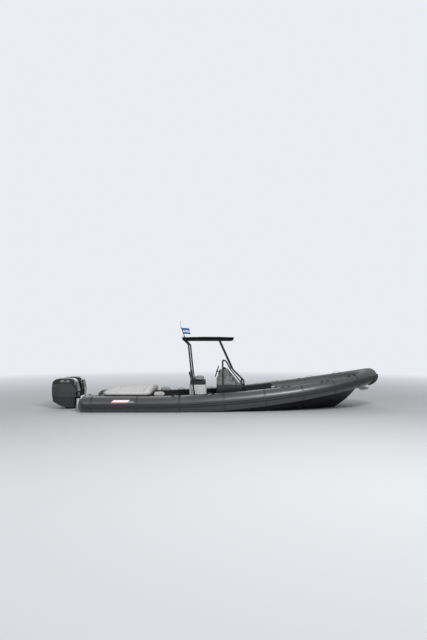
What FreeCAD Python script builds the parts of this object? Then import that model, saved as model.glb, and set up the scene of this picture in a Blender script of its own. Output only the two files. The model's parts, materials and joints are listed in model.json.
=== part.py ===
import FreeCAD, Part
import Sketcher
import math
import os
from FreeCAD import Vector

# Rigid inflatable boat with twin outboards, afloat. Millimetres, +X to the bow, +Y to port, +Z up.
# The origin is on the centreline at the waterline, near amidships.

doc = FreeCAD.newDocument("rigid_inflatable_boat")
sheet = doc.addObject("Spreadsheet::Sheet", "sizes")

# Each size: name, value, what it is
SIZES = (
    ("fit_gap", 0.3, "clearance between pieces that seat on each other"),
    ("move_gap", 6, "clearance between pieces that move past each other"),
    ("pin_gap", 0.5, "radial clearance of a pin in its bore"),
    # Tubes: the plan is a quarter of a superellipse ahead of bow_start, and the sheer rises by a power
    ("tube_radius", 250, "buoyancy tube radius, amidships and aft"),
    ("tube_out", 1130, "centreline to tube centre"),
    ("tube_overhang", 80, "hull's aft end to the tubes' aft ends"),
    ("tube_cone", 200, "length of the cone at each tube's aft end"),
    ("sheer_start", 1800, "origin aft to where the sheer starts to rise"),
    ("bow_start", 1750, "origin to where the tubes start to close in"),
    ("bow_tip", 4785, "origin to the tube's centre at the nose"),
    ("tube_aft_height", 185, "height of the tube's centre aft"),
    ("tube_bow_height", 960, "height of the tube's centre at the nose"),
    ("sheer_power", 1.85, "power by which the sheer rises"),
    ("bow_fullness", 2.8, "superellipse power along the bow"),
    ("nose_bluntness", 1.7, "superellipse power across the bow"),
    ("strake_depth", 28, "rubbing strake thickness"),
    ("strake_height", 140, "rubbing strake height round the tube"),
    ("cap_depth", 38, "nose cap thickness"),
    # Hull
    ("transom_station", 3700, "origin to the hull's aft end"),
    ("stem_station", 4640, "origin to the stem's head"),
    ("keel_depth", 480, "keel's depth at the transom"),
    ("stem_height", 860, "height of the stem's head"),
    ("chine_depth", 50, "chine's depth at the transom"),
    ("chine_flat", 40, "width of the chine flat"),
    ("rail_width", 26, "width of each spray rail"),
    ("rail_depth", 16, "depth of each spray rail"),
    ("transom_foot", 30, "transom board thickness at the keel"),
    ("transom_head", 180, "transom board thickness at its top, which gives the rake"),
    ("transom_top", 300, "transom board's top"),
    ("transom_half_width", 860, "half width of the transom board"),
    ("transom_shoulder", 700, "half width of the transom board's top edge"),
    ("eye_hole_radius", 14, "hole radius of each towing or lifting eye"),
    ("eye_thickness", 12, "thickness of each towing or lifting eye"),
    ("eye_radius", 32, "outer radius of each towing or lifting eye"),
    ("eye_reach", 42, "stem or transom to the centre of an eye's hole"),
    ("bow_eye_height", 240, "height of the towing eye on the stem"),
    ("stern_eye_height", 60, "height of the eyes on the transom"),
    ("stern_eye_out", 700, "centreline to each eye on the transom"),
    # Cockpit
    ("coaming_width", 340, "tube's centre to the cockpit's side"),
    ("floor_height", 100, "height of the hull's flat top, under the cockpit sole"),
    ("well_front", 1880, "origin to the foredeck's step"),
    ("sole_thickness", 20, "cockpit sole thickness"),
    ("sole_margin", 10, "gap round the cockpit sole"),
    ("coaming_drop", 25, "tube ridge down to the coaming's top"),
    ("coaming_margin", 220, "hull's aft end to the coamings' aft end"),
    ("cleat_margin", 10, "coamings' aft end to the cleats"),
    ("cleat_gap", 75, "aft cleats to the sunpad lid"),
    ("locker_length", 1305, "length of the locker under the sunpad"),
    ("wall_thickness", 60, "thickness of the locker's bulkheads"),
    ("lid_thickness", 30, "sunpad lid thickness"),
    ("lid_tube_gap", 18, "gap between the sunpad lid's sides and the tubes' skin"),
    ("lid_corner", 180, "radius of the lid's forward corners"),
    ("pad_overhang", 50, "sunpad's reach past its lid on each side"),
    ("pad_crown", 255, "lid top to the top of the sunpad's headrest roll"),
    ("pad_edge", 105, "lid top to the sunpad's side edge"),
    ("side_pad_height", 125, "side pad thickness"),
    ("side_pad_inset", 30, "cockpit's side to the side pads"),
    ("side_pad_length", 320, "side pad length"),
    ("deck_thickness", 20, "foredeck thickness"),
    ("hatch_setback", 480, "stem's head to the bow hatch opening's forward edge"),
    ("hatch_length", 300, "length of the bow hatch opening"),
    ("hatch_half_width", 150, "half width of the bow hatch opening"),
    ("hatch_lip", 25, "overlap of the bow hatch round its opening"),
    ("hatch_thickness", 22, "bow hatch thickness"),
    ("hatch_depth", 215, "depth of the bow locker below the foredeck"),
    ("bow_pad_height", 130, "bow cushion thickness"),
    ("bow_pad_inset", 60, "bow cushion's gap to the tubes"),
    ("bow_pad_gap", 125, "bow cushion's front to the bow hatch"),
    ("cleat_length", 170, "length of a cleat's horns"),
    ("cleat_radius", 9, "radius of a cleat's horns and posts"),
    ("cleat_height", 34, "height of a cleat's horns above its foot"),
    ("hinge_radius", 9, "radius of the knuckles of the lid's and the hatch's hinges"),
    ("hinge_width", 60, "width of each hinge's moving knuckle"),
    ("hinge_pin_radius", 4, "hinge pin radius"),
    ("roller_radius", 18, "anchor roller radius"),
    # Console and helm seat
    ("console_half_width", 500, "half width of the console's base"),
    ("console_aft", 90, "origin to the console's aft face"),
    ("console_foot", 950, "origin to the foot of the console's front"),
    ("console_corner", 60, "radius of the console's aft corners"),
    ("console_ledge", 705, "height of the console's ledge"),
    ("console_head", 1165, "height of the console's top"),
    ("console_shoulder", 60, "console base's side set in to its upper part"),
    ("panel_recess", 14, "depth of the recessed panel in each side of the console"),
    ("dash_thickness", 15, "dash panel thickness"),
    ("dash_half_width", 380, "half width of the dash panel"),
    ("wheel_radius", 165, "helm wheel radius to its rim's middle"),
    ("wheel_rim", 14, "helm wheel rim radius"),
    ("wheel_standoff", 75, "dash to the helm wheel's middle"),
    ("throttle_out", 290, "centreline to the throttle lever"),
    ("rail_radius", 16, "windscreen rail radius"),
    ("rail_inset", 9, "console's side to the outside of each windscreen rail"),
    ("pane_thickness", 8, "windscreen thickness"),
    ("seat_aft", 720, "origin to the helm seat's aft face"),
    ("seat_length", 495, "length of the helm seat's box"),
    ("seat_half_width", 450, "half width of the helm seat"),
    ("seat_box_top", 705, "height of the helm seat box's top"),
    ("seat_base_height", 120, "height of the helm seat's black base"),
    ("seat_pad_height", 120, "helm seat cushion thickness"),
    ("seat_back_height", 305, "helm seat back's height"),
    # T-top
    ("leg_tube_radius", 24, "T-top leg radius"),
    ("frame_tube_radius", 29, "radius of the side tubes under the canopy"),
    ("leg_out", 100, "console's side to each T-top leg"),
    ("foot_radius", 55, "radius of the feet under legs and rails"),
    ("rail_foot_radius", 22, "radius of the feet under the windscreen rails"),
    ("foot_thickness", 8, "thickness of those feet"),
    ("top_height", 2080, "height of the T-top's underside"),
    ("top_thickness", 60, "T-top canopy thickness"),
    ("top_overhang", 200, "T-top legs to the canopy's sides"),
    ("top_aft", 940, "origin to the T-top's aft edge"),
    ("top_front", 610, "origin to the T-top's forward edge"),
    ("top_corner", 150, "T-top corner radius in plan"),
    ("staff_radius", 12, "light staff radius"),
    ("staff_rise", 310, "light staff's height above the canopy"),
    ("whip_rise", 186, "height of the thin whip above the staff"),
    ("flag_length", 240, "flag length"),
    ("flag_height", 190, "flag height"),
    ("flag_thickness", 4, "thickness of the space that the flag's cloth fills"),
    # Outboards
    ("engine_out", 370, "centreline to each outboard"),
    ("tilt_back", 3910, "origin to the tilt axis"),
    ("tilt_height", 360, "height of the tilt axis"),
    ("tilt_tube_radius", 15, "tilt tube radius"),
    ("swivel_radius", 34, "swivel bracket's head radius"),
    ("clamp_out", 110, "outboard's middle to each clamp plate"),
    ("clamp_thickness", 20, "clamp plate thickness"),
    ("steer_back", 4060, "origin to the steering axis"),
    ("steer_tube_radius", 42, "swivel tube radius"),
    ("yoke_thickness", 28, "steering yoke thickness"),
    ("yoke_half_width", 34, "half width of the steering yokes' arms"),
    ("swivel_top", 300, "height of the swivel tube's top"),
    ("swivel_foot", 120, "depth of the swivel tube's foot"),
    ("cowl_split", 351, "height of the joint between the cowl and its apron"),
    ("cowl_half_width", 205, "half width of the cowl"),
    ("cowl_step", 7, "depth of the steps above and below the cowl's middle band"),
    ("leg_half_width", 62, "half width of the leg at the waterline"),
    ("plate_depth", 480, "depth of the anti-ventilation plate"),
    ("plate_thickness", 12, "thickness of that plate"),
    ("prop_depth", 690, "depth of the propeller shaft"),
    ("gearcase_radius", 62, "gearcase radius"),
    ("skeg_thickness", 14, "skeg thickness"),
    ("prop_shaft_radius", 14, "propeller shaft radius"),
    ("prop_shaft_reach", 50, "propeller shaft's length inside the gearcase"),
    ("prop_radius", 190, "propeller radius"),
    ("prop_hub_radius", 52, "propeller hub radius"),
    ("prop_hub_length", 120, "propeller hub length"),
    ("prop_pitch", 480, "advance of the blades in one turn"),
    ("prop_blades", 3, "number of blades"),
)
for row, (name, value, meaning) in enumerate(SIZES, start=1):
    sheet.set(f"A{row}", meaning)
    sheet.set(f"B{row}", str(value))
    sheet.setAlias(f"B{row}", name)
doc.recompute()


class Sizes:
    """The sheet's values by name."""

    def __getattr__(self, name):
        return float(sheet.get(name))


s = Sizes()
SIDES = (("starboard", -1), ("port", 1))
UP = Vector(0, 0, 1)
ABOVE = 2000        # reach of a tool that cuts everything above or below it
pieces = []

# Tube stations from sheer_start to bow_tip, as shares of that run
TUBE_RUN = (0.137, 0.273, 0.36, 0.46, 0.54, 0.61, 0.67, 0.72, 0.77, 0.815, 0.855, 0.89, 0.92, 0.945, 0.966, 0.982,
            0.993, 1.0)
# Tube radius over the same run: share of the run, share of tube_radius
TUBE_TAPER = ((0, 1.0), (0.30, 1.0), (0.46, 0.975), (0.61, 0.91), (0.72, 0.838), (0.815, 0.80), (0.89, 0.78),
              (0.945, 0.79), (0.982, 0.83), (1, 0.88))
# Cone at a tube's aft end: share of the cone's length, share of tube_radius
TUBE_CONE = ((0, 0.60), (0.4, 0.88), (1, 1.0))
STRAKE_ENDS = (0.4, 0.966)      # share of the cone aft and of the run forward where the strakes end
CAP_START = 0.966               # share of the run where the nose cap starts
CAP_ANGLES = (-80, 14)

# Hull sections from the transom to the stem's head: share of that run, keel's rise as a share of its whole
# rise, chine's distance out as a share of tube_out, chine's rise as a share of its whole rise
HULL = (
    (0, 0, 0.885, 0),
    (0.228, 0.007, 0.885, 0.011),
    (0.444, 0.015, 0.885, 0.032),
    (0.563, 0.022, 0.875, 0.070),
    (0.669, 0.040, 0.832, 0.132),
    (0.742, 0.077, 0.757, 0.218),
    (0.792, 0.136, 0.679, 0.296),
    (0.834, 0.208, 0.585, 0.383),
    (0.870, 0.297, 0.480, 0.474),
    (0.902, 0.415, 0.373, 0.564),
    (0.930, 0.539, 0.267, 0.650),
    (0.954, 0.682, 0.174, 0.738),
    (0.975, 0.832, 0.098, 0.839),
    (0.989, 0.931, 0.057, 0.922),
    (1, 1, 0.030, 1),
)
CHINE_HEAD = 20     # chine's height above the stem's head where both end
SIDE_TUCK = 0.4     # hull side's tuck under the tube, as a share of the tube's radius


def keep(label, shape):
    """A sub-part whose shape is worked out here from the sheet's values."""
    item = doc.addObject("Part::Feature", label)
    item.Shape = shape
    item.Placement = FreeCAD.Placement()
    pieces.append(item)
    return item


def share(table, place):
    """The table's other columns at a place in its first column, by straight lines between its rows."""
    for low, high in zip(table, table[1:]):
        if place <= high[0]:
            break
    part = (place - low[0]) / (high[0] - low[0])
    return [a + part * (b - a) for a, b in zip(low[1:], high[1:])]


tube_aft = -s.transom_station - s.tube_overhang


def tube_at(x):
    """Tube centre's distance out and height, and its radius, at a place along the boat."""
    run = min(max((x + s.sheer_start) / (s.bow_tip + s.sheer_start), 0.0), 1.0)
    ahead = min(max((x - s.bow_start) / (s.bow_tip - s.bow_start), 0.0), 1.0)
    out = s.tube_out * (1 - ahead ** s.bow_fullness) ** (1 / s.nose_bluntness)
    height = s.tube_aft_height + (s.tube_bow_height - s.tube_aft_height) * run ** s.sheer_power
    taper = share(TUBE_TAPER, run)[0]
    behind = (x - tube_aft) / s.tube_cone
    if behind < 1:
        taper = share(TUBE_CONE, behind)[0]
    return out, height, taper * s.tube_radius


def ridge(x):
    """Height of the tube's ridge."""
    _, height, radius = tube_at(x)
    return height + radius


def half_chord(radius, height):
    """Half the width of a circle at a height above its middle."""
    return math.sqrt(radius ** 2 - height ** 2)


def loft(wires):
    return Part.makeLoft(wires, True, True)


def polygon(points):
    return Part.makePolygon(list(points) + [points[0]])


def prism(points, direction):
    """A flat outline pushed along a direction."""
    return Part.Face(polygon(points)).extrude(direction)


def rounded(points, radii):
    """A closed outline of straight runs whose corners are arcs of the given radii."""
    edges = []
    ends = []
    count = len(points)
    for i, corner in enumerate(points):
        back = points[i - 1] - corner
        ahead = points[(i + 1) % count] - corner
        room = 0.49 * min(back.Length, ahead.Length)
        back.normalize()
        ahead.normalize()
        half = back.getAngle(ahead) / 2
        reach = min(radii[i] / math.tan(half), room)
        radius = reach * math.tan(half)
        if reach < 1e-3:
            ends.append((corner, corner, None))
            continue
        middle = (back + ahead).normalize() * (radius / math.sin(half) - radius)
        ends.append((corner + back * reach, corner + ahead * reach, corner + middle))
    for i, (start, end, middle) in enumerate(ends):
        if middle is not None:
            edges.append(Part.Arc(start, middle, end).toShape())
        edges.append(Part.LineSegment(end, ends[(i + 1) % count][0]).toShape())
    return Part.Wire(edges)


def slab(points, radii, direction):
    """A rounded outline pushed along a direction."""
    return Part.Face(rounded(points, radii)).extrude(direction)


def side_view(points, y):
    return [Vector(x, y, z) for x, z in points]


def cross_slab(rows, half_width, y=0.0):
    """A side view of rows (x, z, corner radius) pushed across, its middle at y."""
    return slab(side_view([row[:2] for row in rows], y - half_width), [row[2] for row in rows],
                Vector(0, 2 * half_width, 0))


def rounded_box(low, high, corner):
    """A block with round upright edges."""
    plan = [Vector(low.x, low.y, low.z), Vector(high.x, low.y, low.z),
            Vector(high.x, high.y, low.z), Vector(low.x, high.y, low.z)]
    return slab(plan, [corner] * 4, UP * (high.z - low.z))


def block(low, high):
    return Part.makeBox(high.x - low.x, high.y - low.y, high.z - low.z, low)


def pipe(points, bend, radius):
    """A round tube along straight runs joined by tangent arcs."""
    edges = []
    start = points[0]
    for before, corner, after in zip(points, points[1:], points[2:]):
        back = (before - corner).normalize()
        ahead = (after - corner).normalize()
        half = back.getAngle(ahead) / 2
        reach = bend / math.tan(half)
        middle = (back + ahead).normalize() * (bend / math.sin(half) - bend)
        edges.append(Part.LineSegment(start, corner + back * reach).toShape())
        edges.append(Part.Arc(corner + back * reach, corner + middle, corner + ahead * reach).toShape())
        start = corner + ahead * reach
    edges.append(Part.LineSegment(start, points[-1]).toShape())
    path = Part.Wire(edges)
    circle = Part.Wire(Part.Circle(points[0], points[1] - points[0], radius).toShape())
    return path.makePipeShell([circle], True, False)


def rod(start, end, radius):
    return Part.makeCylinder(radius, (end - start).Length, start, end - start)


# Buoyancy tubes: rings square to a line that runs from the stern round to the nose
def tube_frame(x, side):
    """Centre, radius, and outward and upward directions at a place on one side."""
    step = 0.1
    out, height, radius = tube_at(x)
    out_back, height_back, _ = tube_at(x - step)
    along = Vector(step, side * (out - out_back), height - height_back)
    if x >= s.bow_tip:
        along = Vector(0, -side, 0)
    along.normalize()
    outward = (along.cross(UP) * -side).normalize()
    upward = (outward.cross(along) * -side).normalize()
    return Vector(x, side * out, height), radius, outward, upward


TUBE_STATIONS = [tube_aft + part * s.tube_cone for part, _ in TUBE_CONE] + [-s.sheer_start] \
    + [-s.sheer_start + run * (s.bow_tip + s.sheer_start) for run in TUBE_RUN]


def tube_frames(side, low=-math.inf, high=math.inf):
    return [tube_frame(x, side) for x in TUBE_STATIONS if low - 1e-6 <= x <= high + 1e-6]


def round_tube(frame, extra, degrees):
    """A point on the tube's skin, measured from outboard towards the top."""
    centre, radius, out, up = frame
    turn = math.radians(degrees)
    return centre + (out * math.cos(turn) + up * math.sin(turn)) * (radius + extra)


def ring(frame, extra):
    down, outer, top, inner = [round_tube(frame, extra, degrees) for degrees in (-90, 0, 90, 180)]
    return Part.Wire([Part.Arc(down, outer, top).toShape(), Part.Arc(top, inner, down).toShape()])


def tube(side, extra=0.0):
    return loft([ring(frame, extra) for frame in tube_frames(side)])


def sector(frame, inner, outer, low, high):
    """Part of a ring round the tube, between two angles."""
    middle = (low + high) / 2
    near = [round_tube(frame, inner, degrees) for degrees in (low, middle, high)]
    far = [round_tube(frame, outer, degrees) for degrees in (high, middle, low)]
    return Part.Wire([
        Part.Arc(*near).toShape(), Part.LineSegment(near[-1], far[0]).toShape(),
        Part.Arc(*far).toShape(), Part.LineSegment(far[-1], near[0]).toShape()])


tube_tools = [tube(side, s.fit_gap) for _, side in SIDES]
for name, side in SIDES:
    keep(f"tube_{name}", tube(side))

# Rubbing strakes: a band round the outside of each tube
strake_from = tube_aft + STRAKE_ENDS[0] * s.tube_cone
strake_to = -s.sheer_start + STRAKE_ENDS[1] * (s.bow_tip + s.sheer_start)
strakes = []
for _, side in SIDES:
    bands = []
    for frame in tube_frames(side, strake_from, strake_to):
        half = math.degrees(math.asin(s.strake_height / 2 / frame[1]))
        bands.append(sector(frame, s.fit_gap, s.strake_depth, -half, half))
    strakes.append(loft(bands))

# Nose cap: a thick band under the front of the nose, from one side to the other
cap_from = -s.sheer_start + CAP_START * (s.bow_tip + s.sheer_start)
cap_frames = tube_frames(-1, cap_from) + tube_frames(1, cap_from)[-2::-1]
nose_cap = loft([sector(frame, s.fit_gap, s.cap_depth, *CAP_ANGLES) for frame in cap_frames])
keep("nose_cap", nose_cap)
cap_tool = loft([sector(frame, -s.fit_gap, s.cap_depth + s.fit_gap, CAP_ANGLES[0] - 1, CAP_ANGLES[1] + 1)
                 for frame in cap_frames])
keep("rub_strakes", Part.makeCompound([strake.cut([cap_tool]) for strake in strakes]))


# Hull: a deep V whose sides tuck in under the tubes, flat-topped under the cockpit, full height ahead of it
def hull_side(x):
    """The hull side's top corner: distance out and height."""
    out, height, radius = tube_at(x)
    return out - SIDE_TUCK * radius, height


def hull_place(run):
    return -s.transom_station + run * (s.stem_station + s.transom_station)


def hull_at(x):
    """Keel's height, chine's distance out and chine's height at a place along the boat."""
    run = (x + s.transom_station) / (s.stem_station + s.transom_station)
    keel, chine, chine_rise = share(HULL, run)
    return (-s.keel_depth + keel * (s.keel_depth + s.stem_height), chine * s.tube_out,
            -s.chine_depth + chine_rise * (s.chine_depth + s.stem_height + CHINE_HEAD))


def hull_section(x):
    keel, chine, chine_height = hull_at(x)
    out, height = hull_side(x)
    half = [(chine, chine_height), (chine + s.chine_flat, chine_height), (out, height)]
    around = [(0, keel)] + half + [(-y, z) for y, z in reversed(half)]
    return polygon([Vector(x, y, z) for y, z in around])


def stem_at(height):
    """Place along the boat where the stem passes a height."""
    low, high = 0.0, s.stem_station
    while high - low > 0.01:
        middle = (low + high) / 2
        low, high = (middle, high) if hull_at(middle)[0] < height else (low, middle)
    return low


HULL_PLACES = [hull_place(row[0]) for row in HULL]


def places_between(low, high):
    """Hull stations from low to high, with both ends."""
    return [low] + [x for x in HULL_PLACES if low < x < high] + [high]


well_half = s.tube_out - s.coaming_width
hatch_aft = s.stem_station - s.hatch_setback - s.hatch_length
hatch_floor = hull_side(hatch_aft)[1] - s.hatch_depth
bow_locker = block(
    Vector(hatch_aft, -s.hatch_half_width, hatch_floor),
    Vector(hatch_aft + s.hatch_length, s.hatch_half_width, ABOVE))
above_floor = block(Vector(-s.transom_station - 1, -ABOVE, s.floor_height), Vector(s.well_front, ABOVE, ABOVE))
hull = loft([hull_section(x) for x in HULL_PLACES]).cut(tube_tools + [above_floor, bow_locker])

# Spray rails: two wedges along each side of the V, as shares of the way from keel to chine
SPRAY_RAILS = ((0.36, -3700, 2905), (0.68, -3700, 2488))
rails = []
for part, low, high in SPRAY_RAILS:
    low, high = low / 3700 * s.transom_station, high / 4640 * s.stem_station
    for _, side in SIDES:
        sections = []
        for x in places_between(low, high):
            keel, chine, chine_height = hull_at(x)
            out = part * chine
            on_hull = keel + part * (chine_height - keel)
            slope = (chine_height - keel) / chine
            inner = out - s.rail_width
            sections.append(polygon([
                Vector(x, side * inner, on_hull - slope * s.rail_width + 2),
                Vector(x, side * out, on_hull + 2),
                Vector(x, side * out, on_hull - s.rail_depth * 0.7),
                Vector(x, side * inner, on_hull - slope * s.rail_width - 1)]))
        rails.append(loft(sections))
keep("hull_shell", hull.fuse(rails))

# Transom board: follows the hull's V, thicker at its head so that its aft face is raked
keel, chine, chine_height = hull_at(-s.transom_station)
rise = (chine_height - keel) / chine
transom_half = [
    (s.transom_half_width, keel + rise * s.transom_half_width),
    (s.transom_half_width, s.transom_top - s.transom_half_width + s.transom_shoulder),
    (s.transom_shoulder, s.transom_top),
]
transom_outline = [(0, keel)] + transom_half + [(-y, z) for y, z in reversed(transom_half)]
rake = (s.transom_head - s.transom_foot) / (s.transom_top - keel)


def transom_aft(z):
    """Distance along the boat of the transom's raked aft face at a height."""
    return -s.transom_station - s.transom_foot - rake * (z - keel)


transom = loft([
    polygon([Vector(-s.transom_station, y, z) for y, z in transom_outline]),
    polygon([Vector(transom_aft(z), y, z) for y, z in transom_outline])])
keep("transom_board", transom)


# Towing eye on the stem and an eye at each side of the transom
def eye(centre, ahead):
    """A round lug with a hole across the boat; ahead is 1 where it stands ahead of the hull."""
    across = Vector(0, s.eye_thickness, 0)
    disc = Part.makeCylinder(s.eye_radius, s.eye_thickness, centre - across / 2, across)
    root = centre.x - ahead * (s.eye_reach + s.eye_radius)
    web = block(Vector(min(root, centre.x), centre.y - s.eye_thickness / 2, centre.z - s.eye_radius),
                Vector(max(root, centre.x), centre.y + s.eye_thickness / 2, centre.z + s.eye_radius))
    hole = rod(centre - across, centre + across, s.eye_hole_radius)
    return disc.fuse([web]).cut([hull, transom, hole])


eyes = [eye(Vector(stem_at(s.bow_eye_height) + s.eye_reach, 0, s.bow_eye_height), 1)]
for _, side in SIDES:
    eyes.append(eye(Vector(transom_aft(s.stern_eye_height) - s.eye_reach, side * s.stern_eye_out,
                           s.stern_eye_height), -1))
keep("towing_eyes", Part.makeCompound(eyes))


# Cockpit sole
def outline_points(sketch, corners):
    """A closed outline whose corners are held by the sheet's values, written as expressions."""
    places = [[float(sheet.evalExpression(text)) for text in corner] for corner in corners]
    count = len(corners)
    for i in range(count):
        start = Vector(*places[i], 0)
        end = Vector(*places[(i + 1) % count], 0)
        sketch.addGeometry(Part.LineSegment(start, end), False)
    for i in range(count):
        sketch.addConstraint(Sketcher.Constraint("Coincident", i, 2, (i + 1) % count, 1))
    for i, (corner, place) in enumerate(zip(corners, places)):
        for kind, text, value in zip(("DistanceX", "DistanceY"), corner, place):
            held = sketch.addConstraint(Sketcher.Constraint(kind, -1, 1, i, 1, value))
            sketch.setExpression(f"Constraints[{held}]", text)


def padded(label, corners, plane, length, at=None, symmetric=False):
    """A sketched outline padded to a length, with its sketch's offset from the plane where one is given."""
    body = doc.addObject("PartDesign::Body", label)
    sketch = body.newObject("Sketcher::SketchObject", f"{label}_outline")
    origin_plane = next(item for item in body.Origin.OriginFeatures if item.Role == plane)
    sketch.AttachmentSupport = [(origin_plane, "")]
    sketch.MapMode = "FlatFace"
    if at is not None:
        sketch.setExpression("AttachmentOffset.Base.z", at)
    outline_points(sketch, corners)
    pad = body.newObject("PartDesign::Pad", f"{label}_pad")
    pad.Profile = sketch
    pad.setExpression("Length", length)
    if symmetric:
        pad.SideType = "Symmetric"
    doc.recompute()
    return body


def round_edges(body, name, radius, chosen):
    """Fillet the edges of the body's last feature that are chosen."""
    base = body.Tip
    edges = [f"Edge{i}" for i, edge in enumerate(base.Shape.Edges, start=1) if chosen(edge)]
    fillet = body.newObject("PartDesign::Fillet", f"{body.Label}_{name}")
    fillet.Base = (base, edges)
    fillet.setExpression("Radius", radius)
    doc.recompute()


def upright(edge):
    return abs(edge.tangentAt(edge.FirstParameter).z) > 0.99


def rectangle(label, low, high, length, at, corner):
    """A flat board or box, its upright corners rounded."""
    body = padded(label, [low, (high[0], low[1]), high, (low[0], high[1])], "XY_Plane", length, at)
    round_edges(body, "corners", corner, upright)
    pieces.append(body)
    return body


LOCKER_FRONT = ("-sizes.transom_station + sizes.coaming_margin + sizes.cleat_margin + sizes.cleat_length"
                " + sizes.cleat_gap + sizes.wall_thickness + sizes.locker_length")
rectangle(
    "deck_sole",
    (LOCKER_FRONT + " + sizes.wall_thickness + sizes.sole_margin",
     "-sizes.tube_out + sizes.coaming_width + sizes.sole_margin"),
    ("sizes.well_front - sizes.sole_margin", "sizes.tube_out - sizes.coaming_width - sizes.sole_margin"),
    "sizes.sole_thickness", at="sizes.floor_height", corner="6 * sizes.sole_margin")
sole_top = s.floor_height + s.sole_thickness
SOLE_TOP = "sizes.floor_height + sizes.sole_thickness"


def on_chords(x, height):
    """A height at a place, on the straight line between its values at the hull stations round it."""
    low = max(place for place in HULL_PLACES[:-1] if place <= x)
    high = min(place for place in HULL_PLACES if place > low)
    part = (x - low) / (high - low)
    return height(low) + part * (height(high) - height(low))


# Coamings: moulded sides between the cockpit and the tubes, with the hull's side outside
coaming_aft = -s.transom_station + s.coaming_margin


def coaming_top(x):
    """Height of the coaming's top, straight between the hull stations ahead of its aft end."""
    flat = ridge(coaming_aft) - s.coaming_drop
    return max(flat, on_chords(x, lambda place: ridge(max(place, coaming_aft)) - s.coaming_drop))


def coaming_section(x, side):
    _, chine, chine_height = hull_at(x)
    side_out, side_height = hull_side(x)
    up = (s.floor_height - chine_height) / (side_height - chine_height)
    floor_out = chine + s.chine_flat + up * (side_out - chine - s.chine_flat)
    out = tube_at(x)[0]
    around = [(well_half, s.floor_height), (well_half, coaming_top(x)), (out, coaming_top(x)),
              (side_out, side_height), (floor_out, s.floor_height)]
    return polygon([Vector(x, side * y, z) for y, z in around])


coamings = [
    loft([coaming_section(x, side) for x in places_between(coaming_aft, s.well_front)]).cut(tube_tools)
    for _, side in SIDES]
keep("coamings", Part.makeCompound(coamings))


# Hinges: the moving leaf's knuckle turns on a pin between two fixed knuckles
def knuckle(axis, y, low, high):
    return rod(Vector(axis.x, y + low, axis.z), Vector(axis.x, y + high, axis.z), s.hinge_radius)


def moving_knuckle(axis, y, edge):
    """The moving knuckle with its leaf, which reaches to edge."""
    half = s.hinge_width / 2
    leaf = block(Vector(min(axis.x, edge), y - half, axis.z - s.hinge_radius / 2),
                 Vector(max(axis.x, edge), y + half, axis.z + s.hinge_radius / 2))
    bore = rod(Vector(axis.x, y - half - 1, axis.z), Vector(axis.x, y + half + 1, axis.z),
               s.hinge_pin_radius + s.pin_gap)
    return knuckle(axis, y, -half, half).fuse([leaf]).cut([bore])


def fixed_knuckles(axis, y, foot):
    """The two fixed knuckles with their pin, on feet that reach down to a height."""
    near, far = s.hinge_width / 2 + 1, s.hinge_width / 2 + 1 + s.hinge_radius
    parts = [rod(Vector(axis.x, y - far, axis.z), Vector(axis.x, y + far, axis.z), s.hinge_pin_radius)]
    for low, high in ((-far, -near), (near, far)):
        parts.append(knuckle(axis, y, low, high))
        parts.append(block(Vector(axis.x - s.hinge_radius, y + low, foot),
                           Vector(axis.x + s.hinge_radius, y + high, axis.z)))
    return parts


# Sunpad lid, hinged along the aft wall
locker_top = coaming_top(coaming_aft)
lid_low = locker_top + s.fit_gap
cleat_aft = coaming_aft + s.cleat_margin + s.cleat_length / 2
wall_aft = cleat_aft + s.cleat_length / 2 + s.cleat_gap
locker_aft = wall_aft + s.wall_thickness
locker_front = locker_aft + s.locker_length
lid_aft = wall_aft + s.fit_gap
lid_front = locker_front + s.wall_thickness
lid_half = s.tube_out - half_chord(s.tube_radius, s.tube_radius - s.coaming_drop) - s.lid_tube_gap
lid_axis = Vector(wall_aft - s.hinge_radius, 0, lid_low + s.hinge_radius)
lid_hinges = [side * 0.7 * lid_half for _, side in SIDES]
lid = slab([
    Vector(lid_aft, -lid_half, lid_low), Vector(lid_front, -lid_half, lid_low),
    Vector(lid_front, lid_half, lid_low), Vector(lid_aft, lid_half, lid_low)],
    [40, s.lid_corner, s.lid_corner, 40], UP * s.lid_thickness)
keep("sunpad_lid", lid.fuse([moving_knuckle(lid_axis, y, lid_aft + s.hinge_radius) for y in lid_hinges]))

# Bulkheads at the ends of the locker, up to the coamings' top; the aft one carries the lid's hinges
wall_half = well_half - s.fit_gap
aft_wall = block(Vector(wall_aft, -wall_half, s.floor_height), Vector(locker_aft, wall_half, locker_top))
hinge_foot = locker_top - 3 * s.hinge_radius
for y in lid_hinges:
    aft_wall = aft_wall.fuse(fixed_knuckles(lid_axis, y, hinge_foot))
front_wall = block(Vector(locker_front, -wall_half, s.floor_height), Vector(lid_front, wall_half, locker_top))
keep("locker_walls", Part.makeCompound([aft_wall, front_wall]))

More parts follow.
